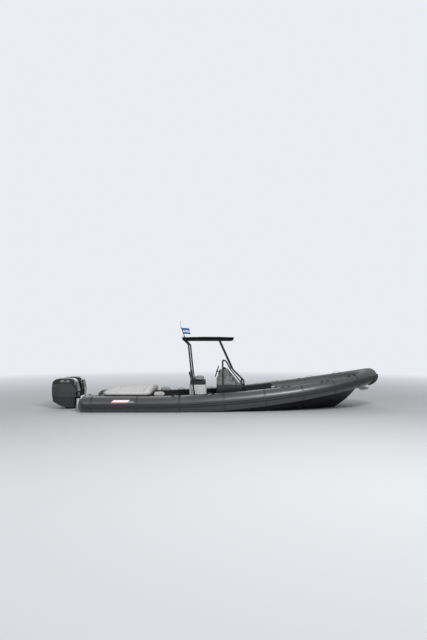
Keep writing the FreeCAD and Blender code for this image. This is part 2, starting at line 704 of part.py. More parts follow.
# Sunpad: distance along it from its aft end and from its front, half width, and the heights of its side edge
# and of its crown, the last three as shares of pad_half, pad_edge and pad_crown
pad_low = lid_low + s.lid_thickness + s.fit_gap
pad_aft, pad_front = lid_aft + s.move_gap, lid_front + 15
pad_half = lid_half + s.pad_overhang
SUNPAD = (
    (pad_aft, 0.90, 0.35, 0.30),
    (pad_aft + 60, 0.955, 0.70, 0.55),
    (pad_aft + 180, 0.99, 0.92, 0.69),
    (pad_front - 465, 1.0, 1.0, 0.755),
    (pad_front - 175, 1.0, 1.0, 0.77),
    (pad_front - 105, 1.0, 1.20, 0.94),
    (pad_front - 60, 0.985, 1.25, 1.0),
    (pad_front - 12, 0.955, 1.0, 0.86),
    (pad_front, 0.93, 0.60, 0.50),
)
PAD_BEVEL = 25
sunpad_rings = []
for x, width, edge, crown in SUNPAD:
    half, edge, crown = width * pad_half, edge * s.pad_edge, crown * s.pad_crown
    low_left, low_right = Vector(x, -half, pad_low), Vector(x, half, pad_low)
    left, right = Vector(x, -half, pad_low + 0.8 * edge), Vector(x, half, pad_low + 0.8 * edge)
    top_left, top_right = Vector(x, -half + PAD_BEVEL, pad_low + edge), Vector(x, half - PAD_BEVEL, pad_low + edge)
    sunpad_rings.append(Part.Wire([
        Part.LineSegment(low_left, low_right).toShape(), Part.LineSegment(low_right, right).toShape(),
        Part.LineSegment(right, top_right).toShape(),
        Part.Arc(top_right, Vector(x, 0, pad_low + crown), top_left).toShape(),
        Part.LineSegment(top_left, left).toShape(), Part.LineSegment(left, low_left).toShape()]))
keep("sunpad_cushion", loft(sunpad_rings))

# Side pads on the coamings, ahead of the sunpad: share of the pad's width, share of its height
SIDE_PAD = ((0, 0), (0, 0.84), (0.19, 1), (0.81, 1), (1, 0.8), (1, 0))
side_pad_aft = pad_front + 65
side_pads = []
for _, side in SIDES:
    rings = []
    for x in (side_pad_aft, side_pad_aft + s.side_pad_length):
        inner = well_half + s.side_pad_inset
        low = coaming_top(x) + s.fit_gap
        rings.append(polygon([Vector(x, side * (inner + part * (lid_half - inner)), low + up * s.side_pad_height)
                              for part, up in SIDE_PAD]))
    side_pads.append(loft(rings))
keep("side_pads", Part.makeCompound(side_pads))


# Foredeck on the hull's top, and the bow cushion on it
def deck_top(x):
    return on_chords(x, lambda place: hull_side(place)[1]) + s.deck_thickness


def deck_section(x):
    half, high = hull_side(x)[0] + s.chine_flat, deck_top(x)
    low = high - s.deck_thickness
    return polygon([Vector(x, y, z) for y, z in ((-half, low), (half, low), (half, high), (-half, high))])


foredeck = loft([deck_section(x) for x in [s.well_front] + [x for x in HULL_PLACES if x > s.well_front + 1]])
hatch_places = (hatch_aft - s.hatch_lip, hatch_aft + s.hatch_length + s.hatch_lip)
hatch_axis = Vector(hatch_places[1] + s.hinge_radius + 2 * s.fit_gap, 0,
                    deck_top(hatch_places[1]) + s.fit_gap + s.hatch_thickness - s.hinge_radius)
hatch_hinges = [side * 0.55 * s.hatch_half_width for _, side in SIDES]
foredeck = foredeck.cut(tube_tools + [bow_locker])
for y in hatch_hinges:
    foredeck = foredeck.fuse(fixed_knuckles(hatch_axis, y, deck_top(hatch_places[1]) - s.deck_thickness / 2))
keep("bow_deck", foredeck)

bow_rings = []
bow_pad_aft = s.well_front + s.bow_pad_inset
for x in places_between(bow_pad_aft, hatch_places[0] - s.bow_pad_gap):
    out, _, radius = tube_at(x)
    half = out - radius - s.bow_pad_inset
    low = deck_top(x) + s.fit_gap
    top = low + s.bow_pad_height
    around = [(half, low), (half, top - 35), (half - 45, top - 8), (0, top),
              (-half + 45, top - 8), (-half, top - 35), (-half, low)]
    bow_rings.append(polygon([Vector(x, y, z) for y, z in around]))
keep("bow_cushion", loft(bow_rings))

# Bow hatch over the small locker in the foredeck
hatch_half = s.hatch_half_width + s.hatch_lip
hatch_rings = []
for x in places_between(*hatch_places):
    low = deck_top(x) + s.fit_gap
    around = [(-hatch_half, low), (hatch_half, low), (hatch_half, low + s.hatch_thickness),
              (-hatch_half, low + s.hatch_thickness)]
    hatch_rings.append(polygon([Vector(x, y, z) for y, z in around]))
keep("bow_hatch", loft(hatch_rings).fuse([
    moving_knuckle(hatch_axis, y, hatch_places[1] - s.hinge_radius) for y in hatch_hinges]))

# Stem roller: two cheeks and a roller under the nose, and the plough anchor stowed in it.
# Places are measured from the roller's centre.
roller_at = Vector(s.stem_station + 22, 0, s.stem_height - 172)
ROLLER_CHEEK = ((-232, 57), (-22, 47), (38, 12), (28, -23), (-22, -38), (-182, 2), (-237, 12))
CHEEK_PLACES = (-42, 36)
CHEEK_THICKNESS = 6


def from_roller(rows, y):
    return [roller_at + Vector(x, y, z) for x, z in rows]


cheeks = [slab(from_roller(ROLLER_CHEEK, y), [3] * len(ROLLER_CHEEK), Vector(0, CHEEK_THICKNESS, 0))
          for y in CHEEK_PLACES]
roller = rod(roller_at + Vector(0, CHEEK_PLACES[0], 0), roller_at + Vector(0, -CHEEK_PLACES[0], 0), s.roller_radius)
keep("stem_roller", cheeks[0].fuse(cheeks[1:] + [roller]).cut([hull]))
# Plough sections: distance along from the roller, half width, top, bottom
PLOUGH = ((-212, 14, -88, -128), (-142, 75, -78, -188), (-32, 95, -68, -198), (48, 70, -78, -168),
          (113, 8, -98, -128))
plough_rings = []
for x, half, high, low in PLOUGH:
    edge = (2 * low + high) / 3
    plough_rings.append(polygon([roller_at + Vector(x, y, z) for y, z in (
        (0, low), (half, edge), (0, high), (-half, edge))]))
shank_top = -s.roller_radius - s.fit_gap
SHANK = ((-162, -48), (-22, shank_top), (14, shank_top), (48, -88), (8, -103), (-52, -58), (-162, -76))
shank = slab(from_roller(SHANK, -9), [4] * len(SHANK), Vector(0, 18, 0))
keep("anchor", loft(plough_rings).fuse([shank]))


# Cleats on the coamings aft and on the foredeck
def cleat(at, slope):
    """A foot, two posts and a bar, on a surface that rises by slope."""
    post = s.cleat_length / 6
    bar = rod(Vector(-s.cleat_length / 2, 0, s.cleat_height), Vector(s.cleat_length / 2, 0, s.cleat_height),
              s.cleat_radius)
    base = rounded_box(Vector(-2 * post, -2.2 * s.cleat_radius, 0), Vector(2 * post, 2.2 * s.cleat_radius, 7), 12)
    posts = [rod(Vector(x, 0, 0), Vector(x, 0, s.cleat_height), s.cleat_radius) for x in (-post, post)]
    shape = bar.fuse([base] + posts)
    shape.rotate(Vector(0, 0, 0), Vector(0, -1, 0), math.degrees(math.atan(slope)))
    shape.translate(at)
    return shape


tube_inner = s.tube_out - half_chord(s.tube_radius, s.tube_radius - s.coaming_drop)
cleats = [cleat(Vector(cleat_aft, side * (well_half + tube_inner) / 2, locker_top + s.fit_gap), 0)
          for _, side in SIDES]
cleat_x = hatch_axis.x + s.hinge_radius + s.cleat_length * 0.85
cleat_slope = (deck_top(cleat_x + 1) - deck_top(cleat_x - 1)) / 2
cleats.append(cleat(Vector(cleat_x, 0, deck_top(cleat_x) + s.fit_gap), cleat_slope))
keep("deck_cleats", Part.makeCompound(cleats))

# Console: base with a recessed arch in each side, upper part set in from it, dash
console_block = padded("console_block", [
    ("sizes.console_aft", SOLE_TOP), ("sizes.console_aft", "sizes.console_ledge"),
    ("sizes.console_foot - 100", "sizes.console_ledge"), ("sizes.console_foot - 20", "sizes.console_ledge - 165"),
    ("sizes.console_foot", SOLE_TOP)], "XZ_Plane", "2 * sizes.console_half_width", symmetric=True)
round_edges(console_block, "aft_corners", "sizes.console_corner",
            lambda edge: upright(edge) and edge.CenterOfMass.x < s.console_aft + 1)
ARCH = ((0.25, 0.14, 20), (0.76, 0.14, 20), (0.76, 0.84, 120), (0.25, 0.84, 120))
arch_length, arch_height = s.console_foot - s.console_aft, s.console_ledge - sole_top
arches = []
for _, side in SIDES:
    inside = side * (s.console_half_width - s.panel_recess)
    arches.append(slab(
        side_view([(s.console_aft + x * arch_length, sole_top + z * arch_height) for x, z, _ in ARCH], inside),
        [row[2] for row in ARCH], Vector(0, side * 2 * s.panel_recess, 0)))
console_arches = doc.addObject("Part::Feature", "console_arches")
console_arches.Shape = Part.makeCompound(arches)
console_base = doc.addObject("Part::Cut", "console_base")
console_base.Base = console_block
console_base.Tool = console_arches
pieces.append(console_base)

# Side view of the console's upper part: place along the boat, height, as shares from the aft foot of its ledge
UPPER = ((0.011, 0), (0, 0.235), (0.104, 0.561), (0.183, 0.946), (0.493, 1), (1, 0))
upper_length = s.console_foot - 150 - s.console_aft


def upper_point(x, z):
    """A share of the upper part's length and height, as expressions and as values."""
    return (f"sizes.console_aft + {x} * (sizes.console_foot - 150 - sizes.console_aft)",
            f"sizes.console_ledge + {z} * (sizes.console_head - sizes.console_ledge)")


def upper_place(x, z, y=0.0):
    return Vector(s.console_aft + x * upper_length, y, s.console_ledge + z * (s.console_head - s.console_ledge))


console_upper = padded("console_upper", [upper_point(*row) for row in UPPER], "XZ_Plane",
                       "2 * (sizes.console_half_width - sizes.console_shoulder)", symmetric=True)
pieces.append(console_upper)

dash_low, dash_high = [upper_place(*row, y=-s.dash_half_width) for row in UPPER[2:4]]
dash_along = (dash_high - dash_low).normalize()
dash_out = Vector(-dash_along.z, 0, dash_along.x)
dash_back = dash_out * s.fit_gap
dash_corners = [dash_low + dash_along * 12 + dash_back, dash_high - dash_along * 8 + dash_back]
dash_across = Vector(0, 2 * s.dash_half_width, 0)
dash_corners += [corner + dash_across for corner in dash_corners[::-1]]
keep("dash_panel", slab(dash_corners, [20] * 4, dash_out * s.dash_thickness))


def on_dash(y, up):
    """A point on the dash panel's face, from its lower edge up the slope."""
    on_face = dash_low + dash_along * up + dash_out * (s.dash_thickness + 2 * s.fit_gap)
    return Vector(on_face.x, y, on_face.z)


# Helm wheel on its shaft, square to the dash
dash_middle = (dash_high - dash_low).Length * 0.56
wheel_foot = on_dash(0, dash_middle)
wheel_centre = wheel_foot + dash_out * s.wheel_standoff
rim = Part.makeTorus(s.wheel_radius, s.wheel_rim, wheel_centre, dash_out)
hub = Part.makeCylinder(32, 26, wheel_centre - dash_out * 13, dash_out)
shaft = rod(wheel_foot, wheel_centre, 14)
spokes = []
for degrees in (90, 210, 330):
    turn = math.radians(degrees)
    reach = (Vector(0, 1, 0) * math.cos(turn) + dash_along * math.sin(turn)) * s.wheel_radius
    spokes.append(rod(wheel_centre, wheel_centre + reach, 9))
keep("helm_wheel", rim.fuse([hub, shaft] + spokes))

# Throttle: a round base with two levers, one for each engine
throttle_foot = on_dash(-s.throttle_out, dash_middle)
throttle_base = Part.makeCylinder(38, 22, throttle_foot, dash_out)
levers = []
for out in (-16, 16):
    lever_foot = throttle_foot + Vector(0, out, 0) + dash_out * 20
    knob = throttle_foot + Vector(0, out, 0) + dash_out * 100 + dash_along * 40
    levers += [rod(lever_foot, knob, 7), Part.makeSphere(12, knob)]
keep("throttle_lever", throttle_base.fuse(levers))

# Windscreen rails: side view from their feet on the console's ledge, over and down to the sole
rail_out = s.console_half_width - s.rail_inset - s.rail_radius
rail_front = s.console_foot + s.rail_radius + s.fit_gap + 43
RAIL = ((282, s.console_ledge + s.fit_gap), (282, 1436), (386, 1400), (519, 1147), (787, 820),
        (rail_front, 553), (rail_front, sole_top + s.fit_gap))
rails = []
for _, side in SIDES:
    points = side_view(RAIL, side * rail_out)
    rails.append(pipe(points, 36, s.rail_radius).fuse([
        Part.makeCylinder(s.rail_foot_radius, s.foot_thickness, points[0]),
        Part.makeCylinder(s.rail_foot_radius, s.foot_thickness, points[-1])]))
RAIL_BAR = (300, 1425)
rail_bar = rod(Vector(RAIL_BAR[0], -rail_out, RAIL_BAR[1]), Vector(RAIL_BAR[0], rail_out, RAIL_BAR[1]),
               s.rail_radius * 0.8)
keep("windscreen_rails", rails[0].fuse([rails[1], rail_bar]))

# Windscreen: a bent pane between the rails
pane_half = rail_out - s.rail_radius - s.fit_gap
PANE = ((392, 1388), (519, 1147), (640, 1003))
pane_front = [Vector(x, -pane_half, z) for x, z in PANE]
pane_turn = (pane_front[1] - pane_front[0]).getAngle(pane_front[2] - pane_front[1])
pane_backs = []
for along in (pane_front[1] - pane_front[0], pane_front[2] - pane_front[0], pane_front[2] - pane_front[1]):
    along.normalize()
    pane_backs.append(Vector(along.z, 0, -along.x) * s.pane_thickness)
pane_backs[1] = pane_backs[1] / math.cos(pane_turn / 2)
pane_back = [point + offset for point, offset in zip(pane_front, pane_backs)]
keep("windscreen", prism(pane_front + pane_back[::-1], Vector(0, 2 * pane_half, 0)))

# Helm seat: box, black base, cushion and back
SEAT_FRONT = "-sizes.seat_aft + sizes.seat_length"
rectangle("seat_box", ("-sizes.seat_aft", "-sizes.seat_half_width"), (SEAT_FRONT, "sizes.seat_half_width"),
          f"sizes.seat_box_top - ({SOLE_TOP})", at=SOLE_TOP, corner="40")
rectangle("seat_base", ("-sizes.seat_aft + 20", "-sizes.seat_half_width + 20"),
          (f"{SEAT_FRONT} - 20", "sizes.seat_half_width - 20"), "sizes.seat_base_height", at="sizes.seat_box_top",
          corner="40")
# Side views of the cushion and the back: share of the box's length, share of the piece's height, corner radius
SEAT_PAD = ((0.323, 0, 5), (0.323, 0.625, 25), (0.404, 0.917, 25), (0.788, 1, 25), (0.869, 0.667, 25), (0.869, 0, 5))
SEAT_BACK = ((0.06, 0, 5), (-0.05, 0.934, 25), (0.04, 1, 25), (0.16, 0.934, 25), (0.313, 0, 5))
seat_top = s.seat_box_top + s.seat_base_height + s.fit_gap
for label, rows, height in (("seat_cushion", SEAT_PAD, s.seat_pad_height),
                            ("seat_back", SEAT_BACK, s.seat_back_height)):
    keep(label, cross_slab([(-s.seat_aft + x * s.seat_length, seat_top + z * height, radius)
                            for x, z, radius in rows], s.seat_half_width - 30))

# T-top: four bent legs with feet, a frame on them and a flat canopy.
# Legs from the frame down: place along the boat, share of the height from the sole to the frame
AFT_LEG = ((-885, 1), (-742, 0.9215), (-668, 0.561), (-564, 0.1627), (-530, 0.0465), (-530, 0))
FORE_LEG = ((178, 1), (579, 0.538), (890, 0.377), (905, 0.253), (905, 0))
top_out = s.console_half_width + s.leg_out
frame_height = s.top_height - s.frame_tube_radius - s.fit_gap
legs = []
for _, side in SIDES:
    for leg_rows in (AFT_LEG, FORE_LEG):
        points = side_view([(x, sole_top + s.fit_gap + part * (frame_height - sole_top)) for x, part in leg_rows],
                           side * top_out)
        legs += [pipe(points, 60, s.leg_tube_radius),
                 Part.makeCylinder(s.foot_radius, s.foot_thickness, points[-1])]
    legs.append(rod(Vector(-s.top_aft + 20, side * top_out, frame_height),
                    Vector(s.top_front - 20, side * top_out, frame_height), s.frame_tube_radius))
for x in (AFT_LEG[0][0], FORE_LEG[0][0], s.top_front - 60):
    legs.append(rod(Vector(x, -top_out, frame_height), Vector(x, top_out, frame_height), 0.8 * s.leg_tube_radius))
keep("t_top_legs", legs[0].fuse(legs[1:]))
TOP_HALF = "sizes.console_half_width + sizes.leg_out + sizes.top_overhang"
rectangle("t_top_canopy", ("-sizes.top_aft", f"-({TOP_HALF})"), ("sizes.top_front", TOP_HALF),
          "sizes.top_thickness", at="sizes.top_height", corner="sizes.top_corner")

canopy_top = s.top_height + s.top_thickness
staff_base = Vector(-s.top_aft + 40, 0, canopy_top)
staff_foot = staff_base + UP * 16
staff_head = Vector(staff_base.x - 0.33 * s.staff_rise, 0, canopy_top + s.staff_rise)
whip_head = staff_head + Vector(-24, 0, s.whip_rise)
keep("light_staff", Part.makeCylinder(30, 24, staff_base).fuse([
    rod(staff_foot, staff_head, s.staff_radius), rod(staff_head, whip_head, 0.4 * s.staff_radius)]))


def beside_staff(z):
    """A place just forward of the staff at a height."""
    lean = (staff_head.x - staff_foot.x) / (staff_head.z - staff_foot.z)
    return staff_foot.x + lean * (z - staff_foot.z) + s.staff_radius * 1.1 + s.fit_gap


flag_high = staff_head.z - 20
flag_low = flag_high - s.flag_height
FLAG_DROP = 12
keep("flag", prism([
    Vector(beside_staff(flag_low), -s.flag_thickness / 2, flag_low),
    Vector(beside_staff(flag_low) + s.flag_length, -s.flag_thickness / 2, flag_low - FLAG_DROP),
    Vector(beside_staff(flag_high) + s.flag_length, -s.flag_thickness / 2, flag_high - FLAG_DROP),
    Vector(beside_staff(flag_high), -s.flag_thickness / 2, flag_high)], Vector(0, s.flag_thickness, 0)))


# Outboards: each hangs on the tilt tube and turns on the swivel tube behind it
def behind_steering(rows, y=0.0):
    """Side-view rows of distance behind the steering axis and height."""
    return [Vector(-s.steer_back - row[0], y, row[1]) for row in rows]


def clamp_bracket(y):
    """Two plates on the transom's aft face, joined by the tilt tube."""
    foot = -s.swivel_foot - s.yoke_thickness
    around = [(transom_aft(foot) - s.fit_gap, foot), (transom_aft(foot) - 70, foot),
              (-s.tilt_back - 35, s.tilt_height - 120), (-s.tilt_back - 35, s.tilt_height + s.swivel_radius),
              (-s.tilt_back + 25, s.tilt_height + s.swivel_radius),
              (transom_aft(s.transom_top) - s.fit_gap, s.transom_top)]
    plates = [slab(side_view(around, y + out - s.clamp_thickness / 2), [10, 30, 30, 32, 25, 0],
                   Vector(0, s.clamp_thickness, 0)) for out in (-s.clamp_out, s.clamp_out)]
    reach = s.clamp_out + s.clamp_thickness
    tilt_tube = rod(Vector(-s.tilt_back, y - reach, s.tilt_height), Vector(-s.tilt_back, y + reach, s.tilt_height),
                    s.tilt_tube_radius)
    return plates[0].fuse(plates[1:] + [tilt_tube])


def swivel_bracket(y):
    """Head round the tilt tube, and the arm that holds the upright swivel tube."""
    half = s.clamp_out - s.clamp_thickness / 2 - s.move_gap
    left, right = Vector(-s.tilt_back, y - half, s.tilt_height), Vector(-s.tilt_back, y + half, s.tilt_height)
    head = rod(left, right, s.swivel_radius)
    low, high = s.swivel_foot - 30, s.swivel_top - 15
    arm = prism(side_view((
        (-s.tilt_back - 8, s.tilt_height - 5), (-s.tilt_back - 90, high), (-s.steer_back, high),
        (-s.steer_back, -low), (-s.steer_back + 60, -low), (-s.tilt_back - 20, s.tilt_height - 120),
        (-s.tilt_back + 12, s.tilt_height - 25)), y - s.steer_tube_radius), Vector(0, 2 * s.steer_tube_radius, 0))
    swivel = rod(Vector(-s.steer_back, y, -s.swivel_foot), Vector(-s.steer_back, y, s.swivel_top),
                 s.steer_tube_radius)
    bore = rod(left - Vector(0, 5, 0), right + Vector(0, 5, 0), s.tilt_tube_radius + s.pin_gap)
    return head.fuse([arm, swivel]).cut([bore])


# Leg sections: height, front and rear behind the steering axis, half width as a share of leg_half_width
LEG = ((200, 65, 500, 1.9), (60, 65, 380, 1.25), (-60, 65, 340, 1.0), (-s.plate_depth + 40, 60, 320, 0.85),
       (-s.plate_depth, 50, 340, 0.9))
STRUT = ((-s.plate_depth + 10, 50, 340, 0.85), (-s.prop_depth, 40, 340, 0.6))
# Anti-ventilation plate: distance behind the steering axis, half width, corner radius
PLATE = ((-20, 0, 20), (140, 120, 60), (640, 110, 50), (680, 0, 60))
SKEG = ((60, -40, 0), (320, -40, 0), (300, -225, 20), (240, -240, 20), (140, -170, 60))
YOKE_REACH = 140
case_end = -s.steer_back - 350


def leg_section(row, y):
    z, front, rear, width = row
    half = width * s.leg_half_width
    middle = (front + rear) / 2 + 40
    half_plan = [(front + 60, half), (middle, half), (rear, half * 0.25)]
    around = [(front, 0)] + half_plan + [(x, -out) for x, out in reversed(half_plan)]
    return polygon([Vector(-s.steer_back - x, y + out, z) for x, out in around])


def leg(y):
    """Midsection, anti-ventilation plate, gearcase and skeg, with the two steering yokes."""
    upright_part = loft([leg_section(row, y) for row in LEG])
    yokes = []
    riser_front = -s.steer_back - 60
    for low in (s.swivel_top + s.fit_gap, -s.swivel_foot - s.fit_gap - s.yoke_thickness):
        disc = Part.makeCylinder(s.steer_tube_radius, s.yoke_thickness, Vector(-s.steer_back, y, low))
        arm = block(Vector(-s.steer_back - YOKE_REACH, y - s.yoke_half_width, low),
                    Vector(-s.steer_back, y + s.yoke_half_width, low + s.yoke_thickness))
        yokes.append(disc.fuse([arm]))
    riser = block(Vector(-s.steer_back - YOKE_REACH, y - s.yoke_half_width, 150),
                  Vector(riser_front, y + s.yoke_half_width, s.swivel_top + s.yoke_thickness))
    plate_half = [(x, out) for x, out, _ in PLATE]
    plate_points = plate_half + [(x, -out) for x, out in reversed(plate_half[1:-1])]
    radii = [row[2] for row in PLATE] + [row[2] for row in reversed(PLATE[1:-1])]
    plate = slab([Vector(-s.steer_back - x, y + out, -s.plate_depth) for x, out in plate_points], radii,
                 UP * s.plate_thickness)
    strut = loft([leg_section(row, y) for row in STRUT])
    axis = -s.prop_depth
    nose = -s.steer_back + 100
    case_points = [Vector(nose, y, axis), Vector(nose - 30, y, axis + s.gearcase_radius / 2),
                   Vector(nose - 120, y, axis + s.gearcase_radius), Vector(case_end + 80, y, axis + s.gearcase_radius),
                   Vector(case_end, y, axis + s.prop_hub_radius), Vector(case_end, y, axis)]
    case = Part.Face(polygon(case_points)).revolve(Vector(0, y, axis), Vector(1, 0, 0), 360)
    skeg = slab(behind_steering([(x, axis + z) for x, z, _ in SKEG], y - s.skeg_thickness / 2),
                [row[2] for row in SKEG], Vector(0, s.skeg_thickness, 0))
    shaft_bore = rod(Vector(case_end - 10, y, axis), Vector(case_end + s.prop_shaft_reach + 5, y, axis),
                     s.prop_shaft_radius + s.pin_gap)
    return upright_part.fuse(yokes + [riser, plate, strut, case, skeg]).cut([shaft_bore])


# Apron side view: distance behind the steering axis, height, corner radius
APRON = ((0, s.cowl_split, 4), (740, s.cowl_split, 10), (695, 216, 40), (500, 120, 60), (340, 60, 60),
         (80, 60, 30), (65, 250, 40), (65, s.cowl_split - 16, 4), (0, s.cowl_split - 16, 4))
# Cowl sections: height above the joint, front and rear behind the steering axis, half width as a share; the
# middle band stands out by cowl_step
COWL = ((0, -15, 740, 1, -1), (105, -24, 748, 1, -1), (112, -26, 751, 1, 0), (190, -30, 754, 1, 0),
        (290, -12, 753, 1, 0), (386, 10, 743, 1, 0), (393, 13, 740, 1, -1), (449, 30, 724, 0.985, -1),
        (499, 68, 668, 0.93, -1), (530, 115, 600, 0.85, -1), (550, 185, 490, 0.70, -1), (558, 250, 420, 0.5, -1))
# Plan of the cowl and apron: share of the length from the front, share of the half width, corner radius
PLAN = ((0, 0.8, 70), (0.26, 1, 90), (0.67, 1, 120), (1, 0.62, 80))
VENT = (240, 360, 458, 492, 22)    # front, rear, foot and head above the joint, depth


def plan(front, rear, half, y, z):
    """The rounded plan outline between two ends, at a height."""
    half_plan = [(front + part * (rear - front), out * half) for part, out, _ in PLAN]
    around = half_plan + [(x, -out) for x, out in reversed(half_plan)]
    radii = [row[2] for row in PLAN] + [row[2] for row in reversed(PLAN)]
    return rounded([Vector(-s.steer_back - x, y + out, z) for x, out in around], radii)


def apron(y):
    """Lower cover, wrapped round the leg."""
    half = s.cowl_half_width - 12
    side = slab(behind_steering(APRON, y - half), [row[2] for row in APRON], Vector(0, 2 * half, 0))
    column = Part.Face(plan(0, 740, half, y, -1)).extrude(UP * ABOVE)
    return side.common([column])


def cowl(y):
    """Engine cover in three bands, with a vent in each side of its top."""
    base = s.cowl_split + s.fit_gap
    shape = loft([plan(front, rear, width * s.cowl_half_width + step * s.cowl_step, y, base + z)
                  for z, front, rear, width, step in COWL])
    front, rear, foot_height, head, depth = VENT
    vents = []
    for _, side in SIDES:
        inner, outer = s.cowl_half_width - depth, s.cowl_half_width + 1
        low, high = sorted((side * inner, side * outer))
        vents.append(block(Vector(-s.steer_back - rear, y + low, base + foot_height),
                           Vector(-s.steer_back - front, y + high, base + head)))
    return shape.cut(vents)


# Propeller sections: radius as a share of the way from hub to tip, chord, thickness
BLADE = ((-0.06, 70, 9), (0.2, 96, 8), (0.5, 116, 6), (0.8, 98, 4.5), (0.95, 66, 3.5), (1, 40, 3))
BLADE_OUTLINE = ((-0.5, 0), (-0.28, 0.5), (0.2, 0.5), (0.5, 0), (0.2, -0.5), (-0.28, -0.5))


def blade_section(part, chord, thickness):
    """A flat section square to the blade, turned to the propeller's pitch at its radius."""
    radius = s.prop_hub_radius + part * (s.prop_radius - s.prop_hub_radius)
    turn = math.atan2(s.prop_pitch, 2 * math.pi * radius)
    points = []
    for along, up in BLADE_OUTLINE:
        along, up = along * chord, up * thickness
        points.append(Vector(along * math.sin(turn) + up * math.cos(turn),
                             along * math.cos(turn) - up * math.sin(turn), radius))
    return polygon(points)


def propeller(y):
    """Hub on its shaft, with pitched blades."""
    axis = Vector(case_end - s.move_gap, y, -s.prop_depth)
    back = Vector(-1, 0, 0)
    hub_end = axis + back * s.prop_hub_length
    barrel = Part.makeCone(s.prop_hub_radius, 0.86 * s.prop_hub_radius, s.prop_hub_length, axis, back)
    prop_shaft = rod(axis - back * (s.move_gap + s.prop_shaft_reach), hub_end + back * 24, s.prop_shaft_radius)
    blades = []
    one = loft([blade_section(*row) for row in BLADE])
    one.translate(axis + back * (s.prop_hub_length / 2))
    for number in range(int(s.prop_blades)):
        turned = one.copy()
        turned.rotate(axis, back, number * 360 / s.prop_blades)
        blades.append(turned)
    return barrel.fuse([prop_shaft] + blades)


keep("clamp_brackets", Part.makeCompound([clamp_bracket(side * s.engine_out) for _, side in SIDES]))
for name, side in SIDES:
    y = side * s.engine_out
    leg_shape = leg(y)
    keep(f"swivel_bracket_{name}", swivel_bracket(y))
    keep(f"leg_{name}", leg_shape)
    keep(f"apron_{name}", apron(y).cut([leg_shape]))
    keep(f"cowl_{name}", cowl(y))
    keep(f"propeller_{name}", propeller(y))

doc.recompute()
os.makedirs("parts", exist_ok=True)
for item in doc.Objects:
    if "Invalid" in item.State or "Error" in item.State:
        raise RuntimeError(f"{item.Label} failed: {item.State}")
for item in pieces:
    if item.Shape.isNull() or not item.Shape.isValid():
        raise RuntimeError(f"{item.Label} has no valid shape")
for item in pieces:
    item.Shape.exportStep(f"parts/{item.Label}.step")
print(len(pieces), "pieces")
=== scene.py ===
import json
import math
import bmesh
import bpy
import numpy as np
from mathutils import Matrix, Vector
from mathutils.bvhtree import BVHTree


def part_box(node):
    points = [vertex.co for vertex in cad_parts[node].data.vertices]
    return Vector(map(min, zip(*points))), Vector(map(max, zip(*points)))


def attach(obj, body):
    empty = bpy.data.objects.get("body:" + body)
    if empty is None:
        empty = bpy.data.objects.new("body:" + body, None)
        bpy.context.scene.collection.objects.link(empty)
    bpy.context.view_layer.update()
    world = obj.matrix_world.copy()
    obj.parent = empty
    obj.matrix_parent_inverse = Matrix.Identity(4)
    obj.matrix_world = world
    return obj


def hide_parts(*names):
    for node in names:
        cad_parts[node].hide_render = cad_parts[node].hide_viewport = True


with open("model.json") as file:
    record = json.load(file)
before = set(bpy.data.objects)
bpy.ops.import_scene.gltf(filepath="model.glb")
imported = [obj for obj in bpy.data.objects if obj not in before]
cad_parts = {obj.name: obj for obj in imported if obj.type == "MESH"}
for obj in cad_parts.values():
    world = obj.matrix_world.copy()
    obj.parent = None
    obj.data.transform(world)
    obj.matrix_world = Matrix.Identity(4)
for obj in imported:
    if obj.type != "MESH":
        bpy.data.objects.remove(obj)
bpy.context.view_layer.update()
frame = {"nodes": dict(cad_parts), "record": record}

scene = bpy.context.scene
scene.view_settings.view_transform = "Standard"

# ---- camera and lamps --------------------------------------------------------------------

# In the photograph's pixels: the focal length, the picture's height, and its middle above the horizon
FOCAL_PIXELS, PICTURE_HEIGHT, MIDDLE_ABOVE_HORIZON = 470, 640, 28
EYE = (0.0, -14.55, 1.80)
TILT_UP = math.atan(MIDDLE_ABOVE_HORIZON / FOCAL_PIXELS)

camera_data = bpy.data.cameras.new("camera")
camera_data.lens = FOCAL_PIXELS / PICTURE_HEIGHT * camera_data.sensor_width
camera = bpy.data.objects.new("camera", camera_data)
camera.location = EYE
camera.rotation_euler = (math.pi / 2 + TILT_UP, 0, 0)
scene.collection.objects.link(camera)
scene.camera = camera


def lamp(name, place, aim, size, watts):
    """A soft square lamp that looks from one place at another."""
    data = bpy.data.lights.new(name, "AREA")
    data.energy = watts
    data.size = size
    item = bpy.data.objects.new(name, data)
    item.location = place
    item.rotation_euler = (Vector(aim) - Vector(place)).to_track_quat("-Z", "Y").to_euler()
    scene.collection.objects.link(item)


lamp("key_lamp", (3.8, -10.5, 8.6), (0, 0, 0.4), 3.2, 1050)
lamp("fill_lamp", (-7.0, -11.0, 5.0), (0, 0, 0.5), 6.0, 260)
lamp("rim_lamp", (-3.0, 12.0, 9.5), (0, 0, 0.6), 13.0, 460)


class Value:
    """A shader socket on which sums, products and comparisons add Math nodes."""

    def __init__(self, look, socket):
        self.look = look
        self.socket = socket

    def math(self, operation, *others):
        """This value, and any others, through a Math node."""
        return self.look.node("ShaderNodeMath", {"operation": operation}, self, *others)

    def __add__(self, other):
        return self.math("ADD", other)

    def __sub__(self, other):
        return self.math("SUBTRACT", other)

    def __mul__(self, other):
        return self.math("MULTIPLY", other)

    def __truediv__(self, other):
        return self.math("DIVIDE", other)

    def __gt__(self, other):
        return self.math("GREATER_THAN", other)

    def __lt__(self, other):
        return self.math("LESS_THAN", other)

    def __rsub__(self, other):
        return self.look.node("ShaderNodeMath", {"operation": "SUBTRACT"}, other, self)

    __radd__ = __add__
    __rmul__ = __mul__

    def clamped(self):
        """Held between 0 and 1."""
        return self.math("MAXIMUM", 0.0).math("MINIMUM", 1.0)


